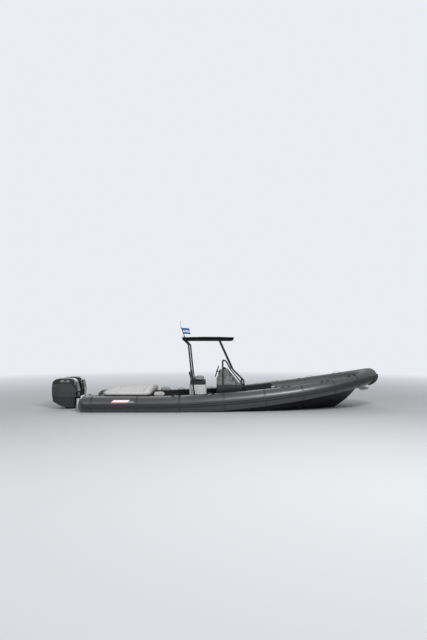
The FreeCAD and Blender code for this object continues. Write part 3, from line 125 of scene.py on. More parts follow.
class Look:
    """A material. node() adds any shader node, and set() gives the main shader its values."""

    def __init__(self, name, colour, roughness=0.5, **fixed):
        self.material = bpy.data.materials.new(name)
        self.material.use_nodes = True
        self.tree = self.material.node_tree
        self.shader = self.tree.nodes["Principled BSDF"]
        self.set(base_color=(*colour, 1), roughness=roughness, **fixed)

    def set(self, **values):
        """Gives the main shader values or links, by its sockets' names in lower case."""
        for key, value in values.items():
            socket = self.shader.inputs[key.replace("_", " ").title().replace("Ior", "IOR")]
            if isinstance(value, Value):
                self.tree.links.new(value.socket, socket)
            else:
                socket.default_value = value
        return self

    def node(self, kind, settings=None, *values, out=0, **named):
        """Adds a node with its settings, and with values or links for its inputs, in order or by name."""
        item = self.tree.nodes.new(kind)
        for key, value in (settings or {}).items():
            setattr(item, key, value)
        for place, value in [*enumerate(values), *named.items()]:
            socket = item.inputs[place]
            if isinstance(value, Value):
                self.tree.links.new(value.socket, socket)
            elif value is not None:
                socket.default_value = value
        return Value(self, item.outputs[out])

    def mix(self, share, low, high):
        """From one colour to another."""
        low, high = [shade if isinstance(shade, Value) else (*shade, 1) for shade in (low, high)]
        return self.node("ShaderNodeMix", {"data_type": "RGBA"}, share, None, None, None, None, None,
                         low, high, out=2)

    def own_place(self):
        """The object's own coordinates in metres."""
        return self.node("ShaderNodeTexCoord", out=3)

    def noise(self, scale, detail=3.0, stretch=(1, 1, 1)):
        """Cloudy values over the object's own coordinates in metres, stretched."""
        at = self.node("ShaderNodeMapping", {}, self.own_place(), Scale=stretch)
        return self.node("ShaderNodeTexNoise", {}, at, None, scale, detail)

    def axis(self, which):
        """One of the object's own coordinates in metres."""
        return self.node("ShaderNodeSeparateXYZ", {}, self.own_place(), out="XYZ".index(which))

    def lines(self, which, spacing, width, start=0.0):
        """1 on lines across an axis, of a width and spacing in metres, and 0 between."""
        part = ((self.axis(which) - start) / spacing).math("FRACT")
        return part < width / spacing

    def facing_up(self):
        """The upward share of a face's direction, from -1 to 1."""
        return self.node("ShaderNodeSeparateXYZ", {}, self.node("ShaderNodeNewGeometry", out=1), out=2)

    def bump(self, height, metres):
        """Relief of a given depth from a height between 0 and 1."""
        self.set(normal=self.node("ShaderNodeBump", {}, Strength=1.0, Distance=metres, Height=height))
        return self


GLOSS_DRIFT = 0.12


def plain(name, colour, roughness=0.5, grain=0.0, grain_scale=60, wear=0.12, wear_scale=2.5, **fixed):
    """A finish with a slow change of shade and gloss over it, and a fine grain if it has one."""
    look = Look(name, colour, roughness, **fixed)
    drift = look.noise(wear_scale, 4.0)
    dark = tuple(c * (1 - wear) for c in colour)
    light = tuple(min(1.0, c * (1 + wear)) for c in colour)
    look.shade = look.mix(drift, dark, light)
    look.set(base_color=look.shade, roughness=(drift - 0.5) * GLOSS_DRIFT + roughness)
    if grain:
        look.grain = look.noise(grain_scale, 2.0)
        look.bump(look.grain, grain)
    return look


# ---- finishes ----------------------------------------------------------------------------

gelcoat_black = plain("gelcoat_black", (0.006, 0.006, 0.007), 0.24, wear=0.3, specular_ior_level=0.2)
tube_fabric = plain("tube_fabric", (0.042, 0.045, 0.049), 0.38, grain=0.0006, grain_scale=420, wear=0.10,
                    coat_weight=0.60, coat_roughness=0.34)
tape_fabric = plain("tape_fabric", (0.044, 0.046, 0.050), 0.38, grain=0.0006, grain_scale=420, wear=0.10)
strake_rubber = plain("strake_rubber", (0.024, 0.025, 0.027), 0.45, grain=0.0004, grain_scale=300, wear=0.14)
cap_rubber = plain("cap_rubber", (0.009, 0.009, 0.010), 0.52, grain=0.0010, grain_scale=140)
valve_plastic = plain("valve_plastic", (0.018, 0.018, 0.019), 0.42)
deck_gelcoat = plain("deck_gelcoat", (0.034, 0.035, 0.038), 0.75, wear=0.15, specular_ior_level=0.05)
trim_gelcoat = plain("trim_gelcoat", (0.022, 0.022, 0.024), 0.24, coat_weight=0.3)
pale_vinyl = plain("pale_vinyl", (0.60, 0.585, 0.565), 0.50, grain=0.0003, grain_scale=500, wear=0.05)
box_gelcoat = plain("box_gelcoat", (0.62, 0.62, 0.605), 0.34, wear=0.04)
dark_vinyl = plain("dark_vinyl", (0.052, 0.054, 0.058), 0.55, grain=0.0004, grain_scale=450)
side_vinyl = plain("side_vinyl", (0.43, 0.42, 0.405), 0.50, grain=0.0003, grain_scale=500, wear=0.06)
seat_vinyl = plain("seat_vinyl", (0.25, 0.255, 0.265), 0.52, grain=0.0004, grain_scale=450, wear=0.08)
black_powder = plain("black_powder", (0.012, 0.012, 0.013), 0.36, grain=0.0002, grain_scale=700)
canopy_shell = plain("canopy_shell", (0.014, 0.014, 0.016), 0.62, specular_ior_level=0.15)
steel = plain("steel", (0.62, 0.62, 0.62), 0.16, wear=0.06, metallic=1.0)
bolt_steel = plain("bolt_steel", (0.55, 0.55, 0.56), 0.24, wear=0.1, wear_scale=40, metallic=1.0)
cowl_gloss = plain("cowl_gloss", (0.008, 0.008, 0.009), 0.10, wear=0.3, coat_weight=1.0, coat_roughness=0.03)
cowl_satin = plain("cowl_satin", (0.020, 0.020, 0.022), 0.34, wear=0.2)
leg_satin = plain("leg_satin", (0.014, 0.014, 0.015), 0.26, coat_weight=0.3)
bracket_paint = plain("bracket_paint", (0.66, 0.67, 0.68), 0.34, wear=0.05)
galvanised = plain("galvanised", (0.86, 0.87, 0.87), 0.45, wear=0.08, wear_scale=14)
anode_zinc = plain("anode_zinc", (0.42, 0.43, 0.45), 0.55, grain=0.0006, grain_scale=300, metallic=0.6)
blade_steel = plain("blade_steel", (0.55, 0.55, 0.56), 0.20, metallic=1.0)
smoked_pane = Look("smoked_pane", (0.06, 0.065, 0.07), 0.06, transmission_weight=0.75, ior=1.49, alpha=0.75)
console_grey = plain("console_grey", (0.155, 0.160, 0.165), 0.30, wear_scale=9.0)
# Console: blotches of paler and darker grey over its colour, a painted reflection of waves on its gloss
painted_wave_reflection = ((console_grey.noise(11.0, 4.0) - 0.5) * 3.0 + 0.5).clamped()
console_grey.set(base_color=console_grey.mix(painted_wave_reflection, (0.085, 0.088, 0.092), (0.25, 0.255, 0.26)))
dash_black = plain("dash_black", (0.012, 0.012, 0.013), 0.50, grain=0.0003, grain_scale=500)
screen_glass = Look("screen_glass", (0.004, 0.005, 0.008), 0.05, coat_weight=1.0)
dial_face = plain("dial_face", (0.030, 0.031, 0.034), 0.40)
needle_white = plain("needle_white", (0.60, 0.60, 0.60), 0.40, wear=0.04)
lamp_lens = Look("lamp_lens", (0.75, 0.76, 0.78), 0.12, coat_weight=0.6)
decal_white = plain("decal_white", (0.90, 0.90, 0.89), 0.35, wear=0.03)
decal_red = plain("decal_red", (0.60, 0.10, 0.11), 0.38, wear=0.05)
webbing = plain("webbing", (0.016, 0.016, 0.018), 0.70, grain=0.0006, grain_scale=600)


# The dark line's half width as a share of its relief's reach, how much it darkens, and its colour: dark
# thread with painted shade of the seam's crease
THREAD_AND_CREASE_SHADE_SHARE, THREAD_AND_CREASE_SHADE_DARKENING, THREAD_AND_CREASE_SHADE_COLOUR = 0.17, 0.5, (0.03, 0.03, 0.03)


def sewn(look, lines, reach=0.013, depth=0.005):
    """Sewn lines on a finish: each row gives an axis and the places of its lines along it. The relief
    sinks to the thread from a short way off, and the line is darkened, as dark thread and as painted shade in
    the seam's crease."""
    height = None
    for which, places in lines:
        for place in places:
            off = ((look.axis(which) - place).math("ABSOLUTE") / reach).math("MINIMUM", 1.0)
            height = off if height is None else height.math("MINIMUM", off)
    # Darker line along each seam: dark thread and painted shade in the seam's crease
    look.set(base_color=look.mix((height < THREAD_AND_CREASE_SHADE_SHARE) * THREAD_AND_CREASE_SHADE_DARKENING, look.shade, THREAD_AND_CREASE_SHADE_COLOUR))
    look.bump(height * (2 - height) + look.grain * 0.06, depth)


# Places of the sewn lines across each cushion
SUN_SEAMS, BOW_SEAMS, SEAT_SEAMS = (-2.78, -2.36, -2.02), (2.30, 2.66, 3.02, 3.38), (-0.20, 0.0, 0.20)
sewn(pale_vinyl, (("X", SUN_SEAMS), ("Y", (0.0,))))
sewn(dark_vinyl, (("X", BOW_SEAMS), ("Y", (0.0,))))
sewn(seat_vinyl, (("Y", SEAT_SEAMS),))

# Sole: foam planks with darker joints along the boat
deck_foam = plain("deck_foam", (0.060, 0.060, 0.062), 0.78, wear=0.12)
PLANK_WIDTH, PLANK_JOINT = 0.060, 0.006
plank_joint = deck_foam.lines("Y", PLANK_WIDTH, PLANK_JOINT, start=-PLANK_JOINT / 2)
deck_foam.set(base_color=deck_foam.mix(plank_joint, deck_foam.shade, (0.008, 0.008, 0.009)))
deck_foam.bump(deck_foam.noise(260, 2.0) * 0.3 + (1 - plank_joint), 0.0015)

# Foredeck and coaming tops: a fine grip pattern of raised round beads on the level faces
BEAD_STEP, BEAD_ROUND, LEVEL_ENOUGH = 0.014, 0.10, 0.95
bead_x, bead_y = [(deck_gelcoat.axis(which) / BEAD_STEP).math("FRACT") - 0.5 for which in "XY"]
beads = (bead_x * bead_x + bead_y * bead_y < BEAD_ROUND) * (deck_gelcoat.facing_up() > LEVEL_ENOUGH)
deck_gelcoat.bump(beads, 0.0006)

# Tubes: coated fabric with a fine weave, and a little dust on its upper side
dust = tube_fabric.facing_up().math("MAXIMUM", 0.0) * tube_fabric.noise(9.0, 5.0) * 0.22
tube_fabric.set(base_color=tube_fabric.mix(dust, tube_fabric.shade, (0.30, 0.30, 0.30)))
WEAVE = 0.0021
threads = (tube_fabric.axis("X") / WEAVE * 2 * math.pi).math("SINE") \
    + (tube_fabric.axis("Z") / WEAVE * 2 * math.pi).math("SINE")
tube_fabric.bump(threads * 0.20 + tube_fabric.noise(300, 2.0) * 0.5, 0.0005)

# Each material slot's finish
FINISHES = {
    "hull_gloss": gelcoat_black, "tube_fabric": tube_fabric, "strake_rubber": strake_rubber,
    "cap_rubber": cap_rubber, "deck_gelcoat": deck_gelcoat, "sole_foam": deck_foam,
    "pale_vinyl": pale_vinyl, "dark_vinyl": dark_vinyl, "seat_vinyl": seat_vinyl,
    "frame_black": black_powder, "canopy_black": canopy_shell, "bright_steel": steel,
    "engine_gloss": cowl_gloss, "engine_satin": leg_satin, "bracket_grey": bracket_paint,
    "blade_steel": blade_steel, "smoked_pane": smoked_pane, "console_grey": console_grey,
    "dash_black": dash_black, "flag_cloth": webbing,
}
# Nodes with a finish of their own within their slot
OWN_FINISH = {
    "sunpad_lid": trim_gelcoat, "seat_box": box_gelcoat, "console_base": trim_gelcoat,
    "anchor": galvanised, "stem_roller": galvanised, "coamings": deck_gelcoat,
    "apron_starboard": cowl_satin, "apron_port": cowl_satin,
}
MERGE_DISTANCE, CORNER_DEGREES = 2e-5, 32


def softened():
    """A node group that joins a mesh's loose triangles and shades it smooth but for its corners."""
    group = bpy.data.node_groups.new("softened", "GeometryNodeTree")
    group.interface.new_socket("Geometry", in_out="INPUT", socket_type="NodeSocketGeometry")
    group.interface.new_socket("Geometry", in_out="OUTPUT", socket_type="NodeSocketGeometry")
    add = group.nodes.new
    start, end = add("NodeGroupInput"), add("NodeGroupOutput")
    merged = add("GeometryNodeMergeByDistance")
    merged.inputs["Distance"].default_value = MERGE_DISTANCE
    smooth = add("GeometryNodeSetShadeSmooth")
    angle = add("GeometryNodeInputMeshEdgeAngle")
    corner = add("FunctionNodeCompare")
    corner.inputs[1].default_value = math.radians(CORNER_DEGREES)
    sharp = add("GeometryNodeSetShadeSmooth")
    sharp.domain = "EDGE"
    sharp.inputs["Shade Smooth"].default_value = False
    link = group.links.new
    link(start.outputs[0], merged.inputs["Geometry"])
    link(merged.outputs[0], smooth.inputs["Geometry"])
    link(angle.outputs[0], corner.inputs[0])
    link(smooth.outputs[0], sharp.inputs["Geometry"])
    link(corner.outputs[0], sharp.inputs["Selection"])
    link(sharp.outputs[0], end.inputs[0])
    return group


soft_group = softened()
for entry in frame["record"]["subparts"]:
    node = frame["nodes"][entry["node"]]
    look = OWN_FINISH.get(entry["node"], FINISHES[entry["material_slot"]])
    node.data.materials.clear()
    node.data.materials.append(look.material)
    node.modifiers.new("softened", "NODES").node_group = soft_group


# ---- floor and backdrop ------------------------------------------------------------------

def camera_rays(look):
    """1 for what the camera, a reflection or a clear pane shows, and 0 for light on the object."""
    rays = [look.node("ShaderNodeLightPath", out=f"Is {kind} Ray")
            for kind in ("Camera", "Glossy", "Transmission")]
    return (rays[0] + rays[1] + rays[2]).math("MINIMUM", 1.0)


# The backdrop's colour, its light on the object and its brightness where it is seen. The floor turns
# into it between two distances from the boat
BACKDROP, WORLD_LIGHT, WORLD_SEEN = (0.86, 0.89, 0.93, 1), 0.42, 0.95
FADE_FROM, FADE_OVER, FLOOR_SIZE = 6.0, 16.0, 400

floor_look = Look("floor_look", (0.58, 0.59, 0.60), 0.7)
from_boat = floor_look.node("ShaderNodeVectorMath", {"operation": "LENGTH"}, floor_look.own_place(), out=1)
far = ((from_boat - FADE_FROM) / FADE_OVER).clamped() * camera_rays(floor_look)
glow = floor_look.node("ShaderNodeEmission", {}, BACKDROP, WORLD_SEEN)
floor_surface = floor_look.node("ShaderNodeMixShader", {}, far,
                                Value(floor_look, floor_look.shader.outputs[0]), glow)
floor_look.tree.links.new(floor_surface.socket, floor_look.tree.nodes["Material Output"].inputs["Surface"])
bpy.ops.mesh.primitive_plane_add(size=FLOOR_SIZE, location=(0, 0, 0))
floor = bpy.context.object
floor.name = "floor"
floor.data.materials.append(floor_look.material)

world = bpy.data.worlds.new("world")
scene.world = world
world.use_nodes = True
sky = world.node_tree
background = sky.nodes["Background"]
background.inputs["Color"].default_value = BACKDROP
paths = sky.nodes.new("ShaderNodeLightPath")
seen = sky.nodes.new("ShaderNodeMapRange")
seen.inputs["To Min"].default_value = WORLD_LIGHT
seen.inputs["To Max"].default_value = WORLD_SEEN
sky.links.new(paths.outputs["Is Camera Ray"], seen.inputs["Value"])
sky.links.new(seen.outputs[0], background.inputs["Strength"])


# ---- surfaces ----------------------------------------------------------------------------

def net(name, points, around=False, ends=False):
    """A mesh of four-sided faces over a grid of points[row, column]. around joins the last column to
    the first, and ends closes the first and last rows with one face each."""
    rows, columns = points.shape[:2]
    number = np.arange(rows * columns).reshape(rows, columns)
    wrapped = np.concatenate([number, number[:, :1]], axis=1) if around else number
    faces = np.stack([wrapped[:-1, :-1], wrapped[1:, :-1], wrapped[1:, 1:], wrapped[:-1, 1:]], axis=-1)
    faces = faces.reshape(-1, 4).tolist()
    if ends:
        faces += [number[0].tolist(), number[-1, ::-1].tolist()]
    mesh = bpy.data.meshes.new(name)
    mesh.from_pydata(points.reshape(-1, 3), [], faces)
    return mesh


def tidy(mesh, angle=35):
    """Merges doubles, turns every face outwards and shades all but sharp corners smooth."""
    work = bmesh.new()
    work.from_mesh(mesh)
    bmesh.ops.remove_doubles(work, verts=work.verts, dist=1e-6)
    bmesh.ops.recalc_face_normals(work, faces=work.faces)
    work.to_mesh(mesh)
    work.free()
    mesh.shade_smooth()
    mesh.set_sharp_from_angle(angle=math.radians(angle))
    return mesh


def joined(name, meshes):
    """Several meshes as one."""
    work = bmesh.new()
    for mesh in meshes:
        work.from_mesh(mesh)
        bpy.data.meshes.remove(mesh)
    whole = bpy.data.meshes.new(name)
    work.to_mesh(whole)
    work.free()
    return whole


def piece(name, mesh, look, body="root", stands_for=()):
    """An object of the boat: it rides on a body and may stand for solids of the frame."""
    item = bpy.data.objects.new(name, mesh)
    scene.collection.objects.link(item)
    mesh.materials.append(look.material)
    if stands_for:
        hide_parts(*stands_for)
    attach(item, body)
    return item


def crossed(normal, up=(0, 0, 1)):
    """Two unit directions square to a normal, the second as near to up as it can be."""
    normal = np.array(normal, float)
    normal /= np.linalg.norm(normal)
    right = np.cross(up, normal)
    if np.linalg.norm(right) < 1e-6:
        right = np.array([0.0, 1.0, 0.0])
    right /= np.linalg.norm(right)
    return right, np.cross(normal, right), normal


def turned(profile, centre, normal, count=24):
    """A round form: profile rows of radius and height, spun about the normal through the centre."""
    right, up, normal = crossed(normal)
    profile = np.array(profile, float)
    turn = np.linspace(0, 2 * math.pi, count, endpoint=False)
    circle = np.cos(turn)[:, None] * right + np.sin(turn)[:, None] * up
    points = np.array(centre) + profile[:, 0, None, None] * circle[None] + profile[:, 1, None, None] * normal
    return tidy(net("round", points, around=True, ends=True))


def rounded_outline(low, high, corner, count=160):
    """A rectangle with round corners, walked anticlockwise by equal steps. Returns x and y."""
    (x0, y0), (x1, y1) = low, high
    straight_x, straight_y = x1 - x0 - 2 * corner, y1 - y0 - 2 * corner
    quarter = math.pi / 2 * corner
    knots = np.cumsum([0, straight_x, quarter, straight_y, quarter, straight_x, quarter, straight_y, quarter])
    along = np.linspace(0, knots[-1], count, endpoint=False)
    part = np.clip(along[:, None] - knots[None, :-1], 0, np.diff(knots)[None, :])
    turn = [part[:, i] / max(corner, 1e-9) for i in (1, 3, 5, 7)]
    x = x0 + corner + part[:, 0] + corner * np.sin(turn[0]) - corner * (1 - np.cos(turn[1])) \
        - part[:, 4] - corner * np.sin(turn[2]) + corner * (1 - np.cos(turn[3]))
    y = y0 + corner * (1 - np.cos(turn[0])) + part[:, 2] + corner * np.sin(turn[1]) \
        - corner * (1 - np.cos(turn[2])) - part[:, 6] - corner * np.sin(turn[3])
    return x, y


def panel(centre, normal, width, height, thickness, corner=0.01, edge=0.002, up=(0, 0, 1)):
    """A flat plate with round corners that stands on a face: its rim rises, turns over by a quarter
    circle of the edge's radius and closes in a level front."""
    right, upward, normal = crossed(normal, up)
    bend = np.linspace(0, math.pi / 2, 5)
    rings = [(0.0, 0.0), *[(edge * (1 - math.cos(a)), thickness - edge + edge * math.sin(a)) for a in bend]]
    points = []
    for inward, lift in rings:
        half_x, half_y = width / 2 - inward, height / 2 - inward
        x, y = rounded_outline((-half_x, -half_y), (half_x, half_y), max(corner - inward, 1e-4), 64)
        points.append(np.array(centre) + x[:, None] * right + y[:, None] * upward + lift * normal)
    return tidy(net("panel", np.array(points), around=True, ends=True))


def smooth_path(points, count):
    """Evenly spaced points on a Catmull-Rom curve through the given points."""
    points = np.array(points, float)
    padded = np.concatenate([2 * points[:1] - points[1:2], points, 2 * points[-1:] - points[-2:-1]])
    place = np.linspace(0, len(points) - 1, count)
    at = np.minimum(place.astype(int), len(points) - 2)
    t = (place - at)[:, None]
    a, b, c, d = (padded[at + i] for i in range(4))
    return 0.5 * (2 * b + (c - a) * t + (2 * a - 5 * b + 4 * c - d) * t ** 2
                  + (3 * b - a - 3 * c + d) * t ** 3)


def swept(path, section, up=(0, 0, 1)):
    """A closed section of side and height rows, carried square to a path. The side direction is square
    to the path and to up."""
    path = np.asarray(path, float)
    along = np.gradient(path, axis=0)
    along /= np.linalg.norm(along, axis=1, keepdims=True)
    side = np.cross(along, up)
    side /= np.linalg.norm(side, axis=1, keepdims=True)
    height = np.cross(side, along)
    section = np.array(section, float)
    points = path[:, None] + side[:, None] * section[None, :, :1] + height[:, None] * section[None, :, 1:]
    return tidy(net("swept", points, around=True, ends=True), 50)


def round_section(radius, count=12):
    """A circle's points as side and height."""
    turn = np.linspace(0, 2 * math.pi, count, endpoint=False)
    return np.stack([radius * np.cos(turn), radius * np.sin(turn)], axis=1)


# ---- buoyancy tubes ----------------------------------------------------------------------

# Metres, as in the model's spreadsheet
TUBE_OUT, TUBE_RADIUS = 1.130, 0.250
TUBE_AFT, SHEER_START, BOW_START, BOW_TIP = -3.780, -1.800, 1.750, 4.785
AFT_HEIGHT, BOW_HEIGHT = 0.185, 0.960
SHEER_POWER, BOW_FULLNESS, NOSE_BLUNTNESS = 1.85, 2.8, 1.7
CONE_LENGTH, CONE_SHARE, CONE_POWER = 0.200, 0.60, 2.2
RADIUS_PLACES = (0, 0.30, 0.46, 0.61, 0.72, 0.815, 0.89, 0.945, 0.982, 1)
RADIUS_SHARES = (1, 1, 0.975, 0.91, 0.838, 0.80, 0.78, 0.79, 0.83, 0.88)


def tube_line(x):
    """Tube centre's distance out and height, and its radius: the plan is a quarter of a superellipse
    ahead of BOW_START, the sheer rises by a power of the distance from SHEER_START, and the aft end
    tapers in a rounded cone."""
    run = np.clip((x - SHEER_START) / (BOW_TIP - SHEER_START), 0, 1)
    ahead = np.clip((x - BOW_START) / (BOW_TIP - BOW_START), 0, 1)
    out = TUBE_OUT * (1 - ahead ** BOW_FULLNESS) ** (1 / NOSE_BLUNTNESS)
    height = AFT_HEIGHT + (BOW_HEIGHT - AFT_HEIGHT) * run ** SHEER_POWER
    cone = np.clip((x - TUBE_AFT) / CONE_LENGTH, 0, 1)
    taper = CONE_SHARE + (1 - CONE_SHARE) * (1 - (1 - cone) ** CONE_POWER)
    return out, height, TUBE_RADIUS * np.interp(run, RADIUS_PLACES, RADIUS_SHARES) * taper


def on_tube(side, x, degrees, lift=0.0):
    """Points on a tube's skin over arrays of place and angle, the angle measured from outboard towards
    the top, in planes square to the tube's line. At the tip the plane runs along the boat."""
    x, degrees = np.broadcast_arrays(np.asarray(x, float), np.asarray(degrees, float))
    step = 1e-4
    out, height, radius = tube_line(x)
    out_back, height_back, _ = tube_line(x - step)
    along = np.stack([np.full_like(x, step), side * (out - out_back), height - height_back], axis=-1)
    along = np.where((x > BOW_TIP - 1e-7)[..., None], np.array([0.0, -side, 0.0]), along)
    along /= np.linalg.norm(along, axis=-1, keepdims=True)
    outward = np.cross(along, (0, 0, 1)) * -side
    outward /= np.linalg.norm(outward, axis=-1, keepdims=True)
    upward = np.cross(outward, along) * -side
    turn = np.radians(degrees)[..., None]
    centre = np.stack([x, side * out, height], axis=-1)
    return centre + (outward * np.cos(turn) + upward * np.sin(turn)) * (radius + lift)[..., None]


def places_to_tip(start, count):
    """Places along the tube from a start to the tip, closer and closer towards it."""
    return start + (BOW_TIP - start) * (1 - (1 - np.linspace(0, 1, count)) ** 2)


SIDES = (("starboard", -1), ("port", 1))
around_tube = np.linspace(0, 360, 96, endpoint=False)
tube_places = np.concatenate([
    np.linspace(TUBE_AFT, TUBE_AFT + CONE_LENGTH, 14),
    np.linspace(TUBE_AFT + CONE_LENGTH, BOW_START, 60)[1:-1],
    places_to_tip(BOW_START, 120)])
for side_name, side in SIDES:
    skin = on_tube(side, tube_places[:, None], around_tube[None, :])
    piece(f"tube_skin_{side_name}", tidy(net("tube_skin", skin, around=True, ends=True), 50),
          tube_fabric, stands_for=(f"tube_{side_name}",))

# Aft ends: a moulded rubber disc with two raised rings
END_RINGS = ((0.146, -0.02), (0.150, 0.002), (0.149, 0.006), (0.142, 0.009), (0.118, 0.009), (0.114, 0.006),
             (0.070, 0.006), (0.066, 0.010), (0.050, 0.010), (0.046, 0.006), (0.002, 0.006))
for side_name, side in SIDES:
    end_disc = turned(END_RINGS, (TUBE_AFT, side * TUBE_OUT, AFT_HEIGHT), (-1, 0, 0), 64)
    piece(f"tube_end_{side_name}", end_disc, cap_rubber)


def patch(name, side, x, degrees, thickness, look, lift=0.0004):
    """A thin pad on a tube's skin over a grid of place x[row, column] and degrees[row, column]: a top
    sheet whose rim is drawn down to the skin, closed below."""
    top = on_tube(side, x, degrees, lift + thickness)
    low = on_tube(side, x, degrees, lift - 0.0015)
    rows, columns = x.shape
    number = np.arange(rows * columns).reshape(rows, columns)
    faces = [np.stack([number[:-1, :-1], number[1:, :-1], number[1:, 1:], number[:-1, 1:]], axis=-1)]
    faces.append(faces[0][..., ::-1] + rows * columns)
    rim = np.concatenate([number[0, :-1], number[:-1, -1], number[-1, :0:-1], number[:0:-1, 0]])
    after = np.roll(rim, -1)
    wall = np.stack([rim, after, after + rows * columns, rim + rows * columns], axis=-1)
    mesh = bpy.data.meshes.new(name)
    mesh.from_pydata(np.concatenate([top.reshape(-1, 3), low.reshape(-1, 3)]), [],
                     [f for group in faces for f in group.reshape(-1, 4).tolist()] + wall.tolist())
    return piece(name, tidy(mesh), look)


# Seam tapes round the tubes where their panels meet
SEAM_PLACES = (-3.42, -2.15, -0.95, 0.30, 1.45, 2.50, 3.40, 4.10)
TAPE_WIDTH, TAPE_THICKNESS, TAPE_LOW, TAPE_HIGH = 0.06, 0.0012, -60, 108
for side_name, side in SIDES:
    for number, place in enumerate(SEAM_PLACES):
        tape_x, tape_angle = np.meshgrid(np.linspace(-TAPE_WIDTH / 2, TAPE_WIDTH / 2, 3) + place,
                                         np.linspace(TAPE_LOW, TAPE_HIGH, 80), indexing="ij")
        patch(f"seam_tape_{side_name}_{number}", side, tape_x, tape_angle, TAPE_THICKNESS, tape_fabric)

# Rubbing strakes: a flat base with two ribs on it. Rows of half the section: share of the half angle,
# share of the depth
STRAKE_HALF_RIBS = ((-1, 0.0), (-1, 0.30), (-0.93, 0.42), (-0.62, 0.46), (-0.54, 0.86), (-0.48, 0.95),
                    (-0.22, 0.95), (-0.16, 0.86), (-0.10, 0.48))
STRAKE_FROM, STRAKE_TO, STRAKE_DEPTH, STRAKE_HALF = -3.700, 4.5611, 0.028, 0.070
strake_rows = np.array([*STRAKE_HALF_RIBS, *((-share, rise) for share, rise in STRAKE_HALF_RIBS[::-1])])
strake_places = np.concatenate([
    np.linspace(STRAKE_FROM, BOW_START, 150)[:-1],
    BOW_START + (STRAKE_TO - BOW_START) * (1 - (1 - np.linspace(0, 1, 150)) ** 1.4)])
_, _, strake_radius = tube_line(strake_places)
to_strake_end = np.minimum(strake_places - STRAKE_FROM, STRAKE_TO + 0.1 - strake_places)
end_rise = np.clip(to_strake_end / 0.05, 0, 1) ** 0.5
strake_angle = np.degrees(np.arcsin(STRAKE_HALF / strake_radius))[:, None] * strake_rows[None, :, 0]
strake_lift = (0.1 + 0.9 * end_rise[:, None]) * strake_rows[None, :, 1] * STRAKE_DEPTH - 0.001
for side_name, side in SIDES:
    strake_points = on_tube(side, strake_places[:, None], strake_angle, strake_lift)
    piece(f"rub_strake_{side_name}", tidy(net("rub_strake", strake_points, around=True, ends=True)),
          strake_rubber, stands_for=("rub_strakes",) if side < 0 else ())

# Nose cap: one ribbed rubber pad round the nose, from one strake's end to the other's
CAP_LOW, CAP_HIGH, CAP_DEPTH, RIB_STEP, RIB_DEPTH = -80, 14, 0.037, 11.75, 0.011
cap_places = places_to_tip(STRAKE_TO, 60)
cap_angles = np.linspace(CAP_LOW, CAP_HIGH, 97)
to_rim = np.minimum(cap_angles - CAP_LOW, CAP_HIGH - cap_angles)
cap_ribs = 0.5 + 0.5 * np.cos(2 * math.pi * (cap_angles - CAP_LOW) / RIB_STEP)
cap_lift = (CAP_DEPTH - RIB_DEPTH * cap_ribs ** 3) * np.clip(to_rim / 4, 0.12, 1) ** 0.5
cap_fade = np.clip((cap_places - STRAKE_TO) / 0.02, 0.5, 1) ** 0.5
ring_angles = np.concatenate([cap_angles, cap_angles[::-1]])
ring_lift = np.concatenate([cap_lift, np.full(len(cap_angles), -0.002)])
halves = [on_tube(side, cap_places[:, None], ring_angles[None, :],
                  np.where(ring_lift > 0, ring_lift * cap_fade[:, None], ring_lift)) for _, side in SIDES]
nose_points = np.concatenate([halves[0], halves[1][-2::-1]])
piece("bow_rubber", tidy(net("bow_rubber", nose_points, around=True, ends=True)), cap_rubber,
      stands_for=("nose_cap",))

# Blank slanted patches, a white upper band with a thin tail and a red lower one: name, low and high
# angle, length, thickness and finish. They slant forward by a share of the angle
SIDE_PATCHES = (("white", 25, 41, 0.45, 0.0009, decal_white), ("red", 18.5, 24.5, 0.45, 0.0009, decal_red),
                ("tail", 25.5, 28, 0.62, 0.0007, decal_white))
PATCH_AFT, PATCH_FOOT, PATCH_SLANT = -2.88, 18, 0.0045
share_x, share_up = np.meshgrid(np.linspace(0, 1, 31), np.linspace(0, 1, 9), indexing="ij")
for side_name, side in SIDES:
    for name, low, high, length, thickness, look in SIDE_PATCHES:
        angle = low + (high - low) * share_up
        along = PATCH_AFT + length * share_x + (angle - PATCH_FOOT) * PATCH_SLANT
        patch(f"side_{name}_{side_name}", side, along, angle, thickness, look)


# A handle's half length and its pads' half length, a pad's thickness, the strap's rise and thickness,
# and half the angle that a pad and the strap take round the tube
HANDLE_HALF, HANDLE_PAD_HALF, HANDLE_PAD, STRAP_RISE, STRAP = 0.10, 0.045, 0.003, 0.040, 0.004
PAD_DEGREES, STRAP_DEGREES = 11, 5


def handle(name, side, x, degrees, rows=25):
    """A webbing grab handle: two pads on the skin and a strap that arches from one to the other, its
    height a power of a half sine of the distance along it."""
    for end_name, end in (("aft", -1), ("fore", 1)):
        grid_x, grid_angle = np.meshgrid(
            np.linspace(-HANDLE_PAD_HALF, HANDLE_PAD_HALF, 5) + x + end * HANDLE_HALF,
            np.linspace(-PAD_DEGREES, PAD_DEGREES, 9) + degrees, indexing="ij")
        patch(f"{name}_pad_{end_name}", side, grid_x, grid_angle, HANDLE_PAD, webbing)
    along = np.linspace(-HANDLE_HALF, HANDLE_HALF, rows)
    rise = STRAP + STRAP_RISE * np.sin(np.pi * (along + HANDLE_HALF) / (2 * HANDLE_HALF)) ** 0.8
    section = np.array([(-1, 0), (1, 0), (1, 1), (-1, 1)]) * (STRAP_DEGREES, STRAP)
    angle = degrees + section[None, :, 0] * np.ones((rows, 1))
    lift = rise[:, None] + section[None, :, 1]
    points = on_tube(side, (x + along)[:, None] * np.ones((1, 4)), angle, lift)
    piece(name, tidy(net(name, points, around=True, ends=True)), webbing)


# Places along the boat and angles of the handles, and of the inflation valves
HANDLES = ((2.07, 84), (3.20, 84), (4.02, 84), (-0.10, 80), (-1.05, 80))
VALVES = ((-2.60, 104), (0.75, 104), (2.85, 100))
for side_name, side in SIDES:
    for number, (place, angle) in enumerate(HANDLES):
        handle(f"grab_handle_{side_name}_{number}", side, place, angle)

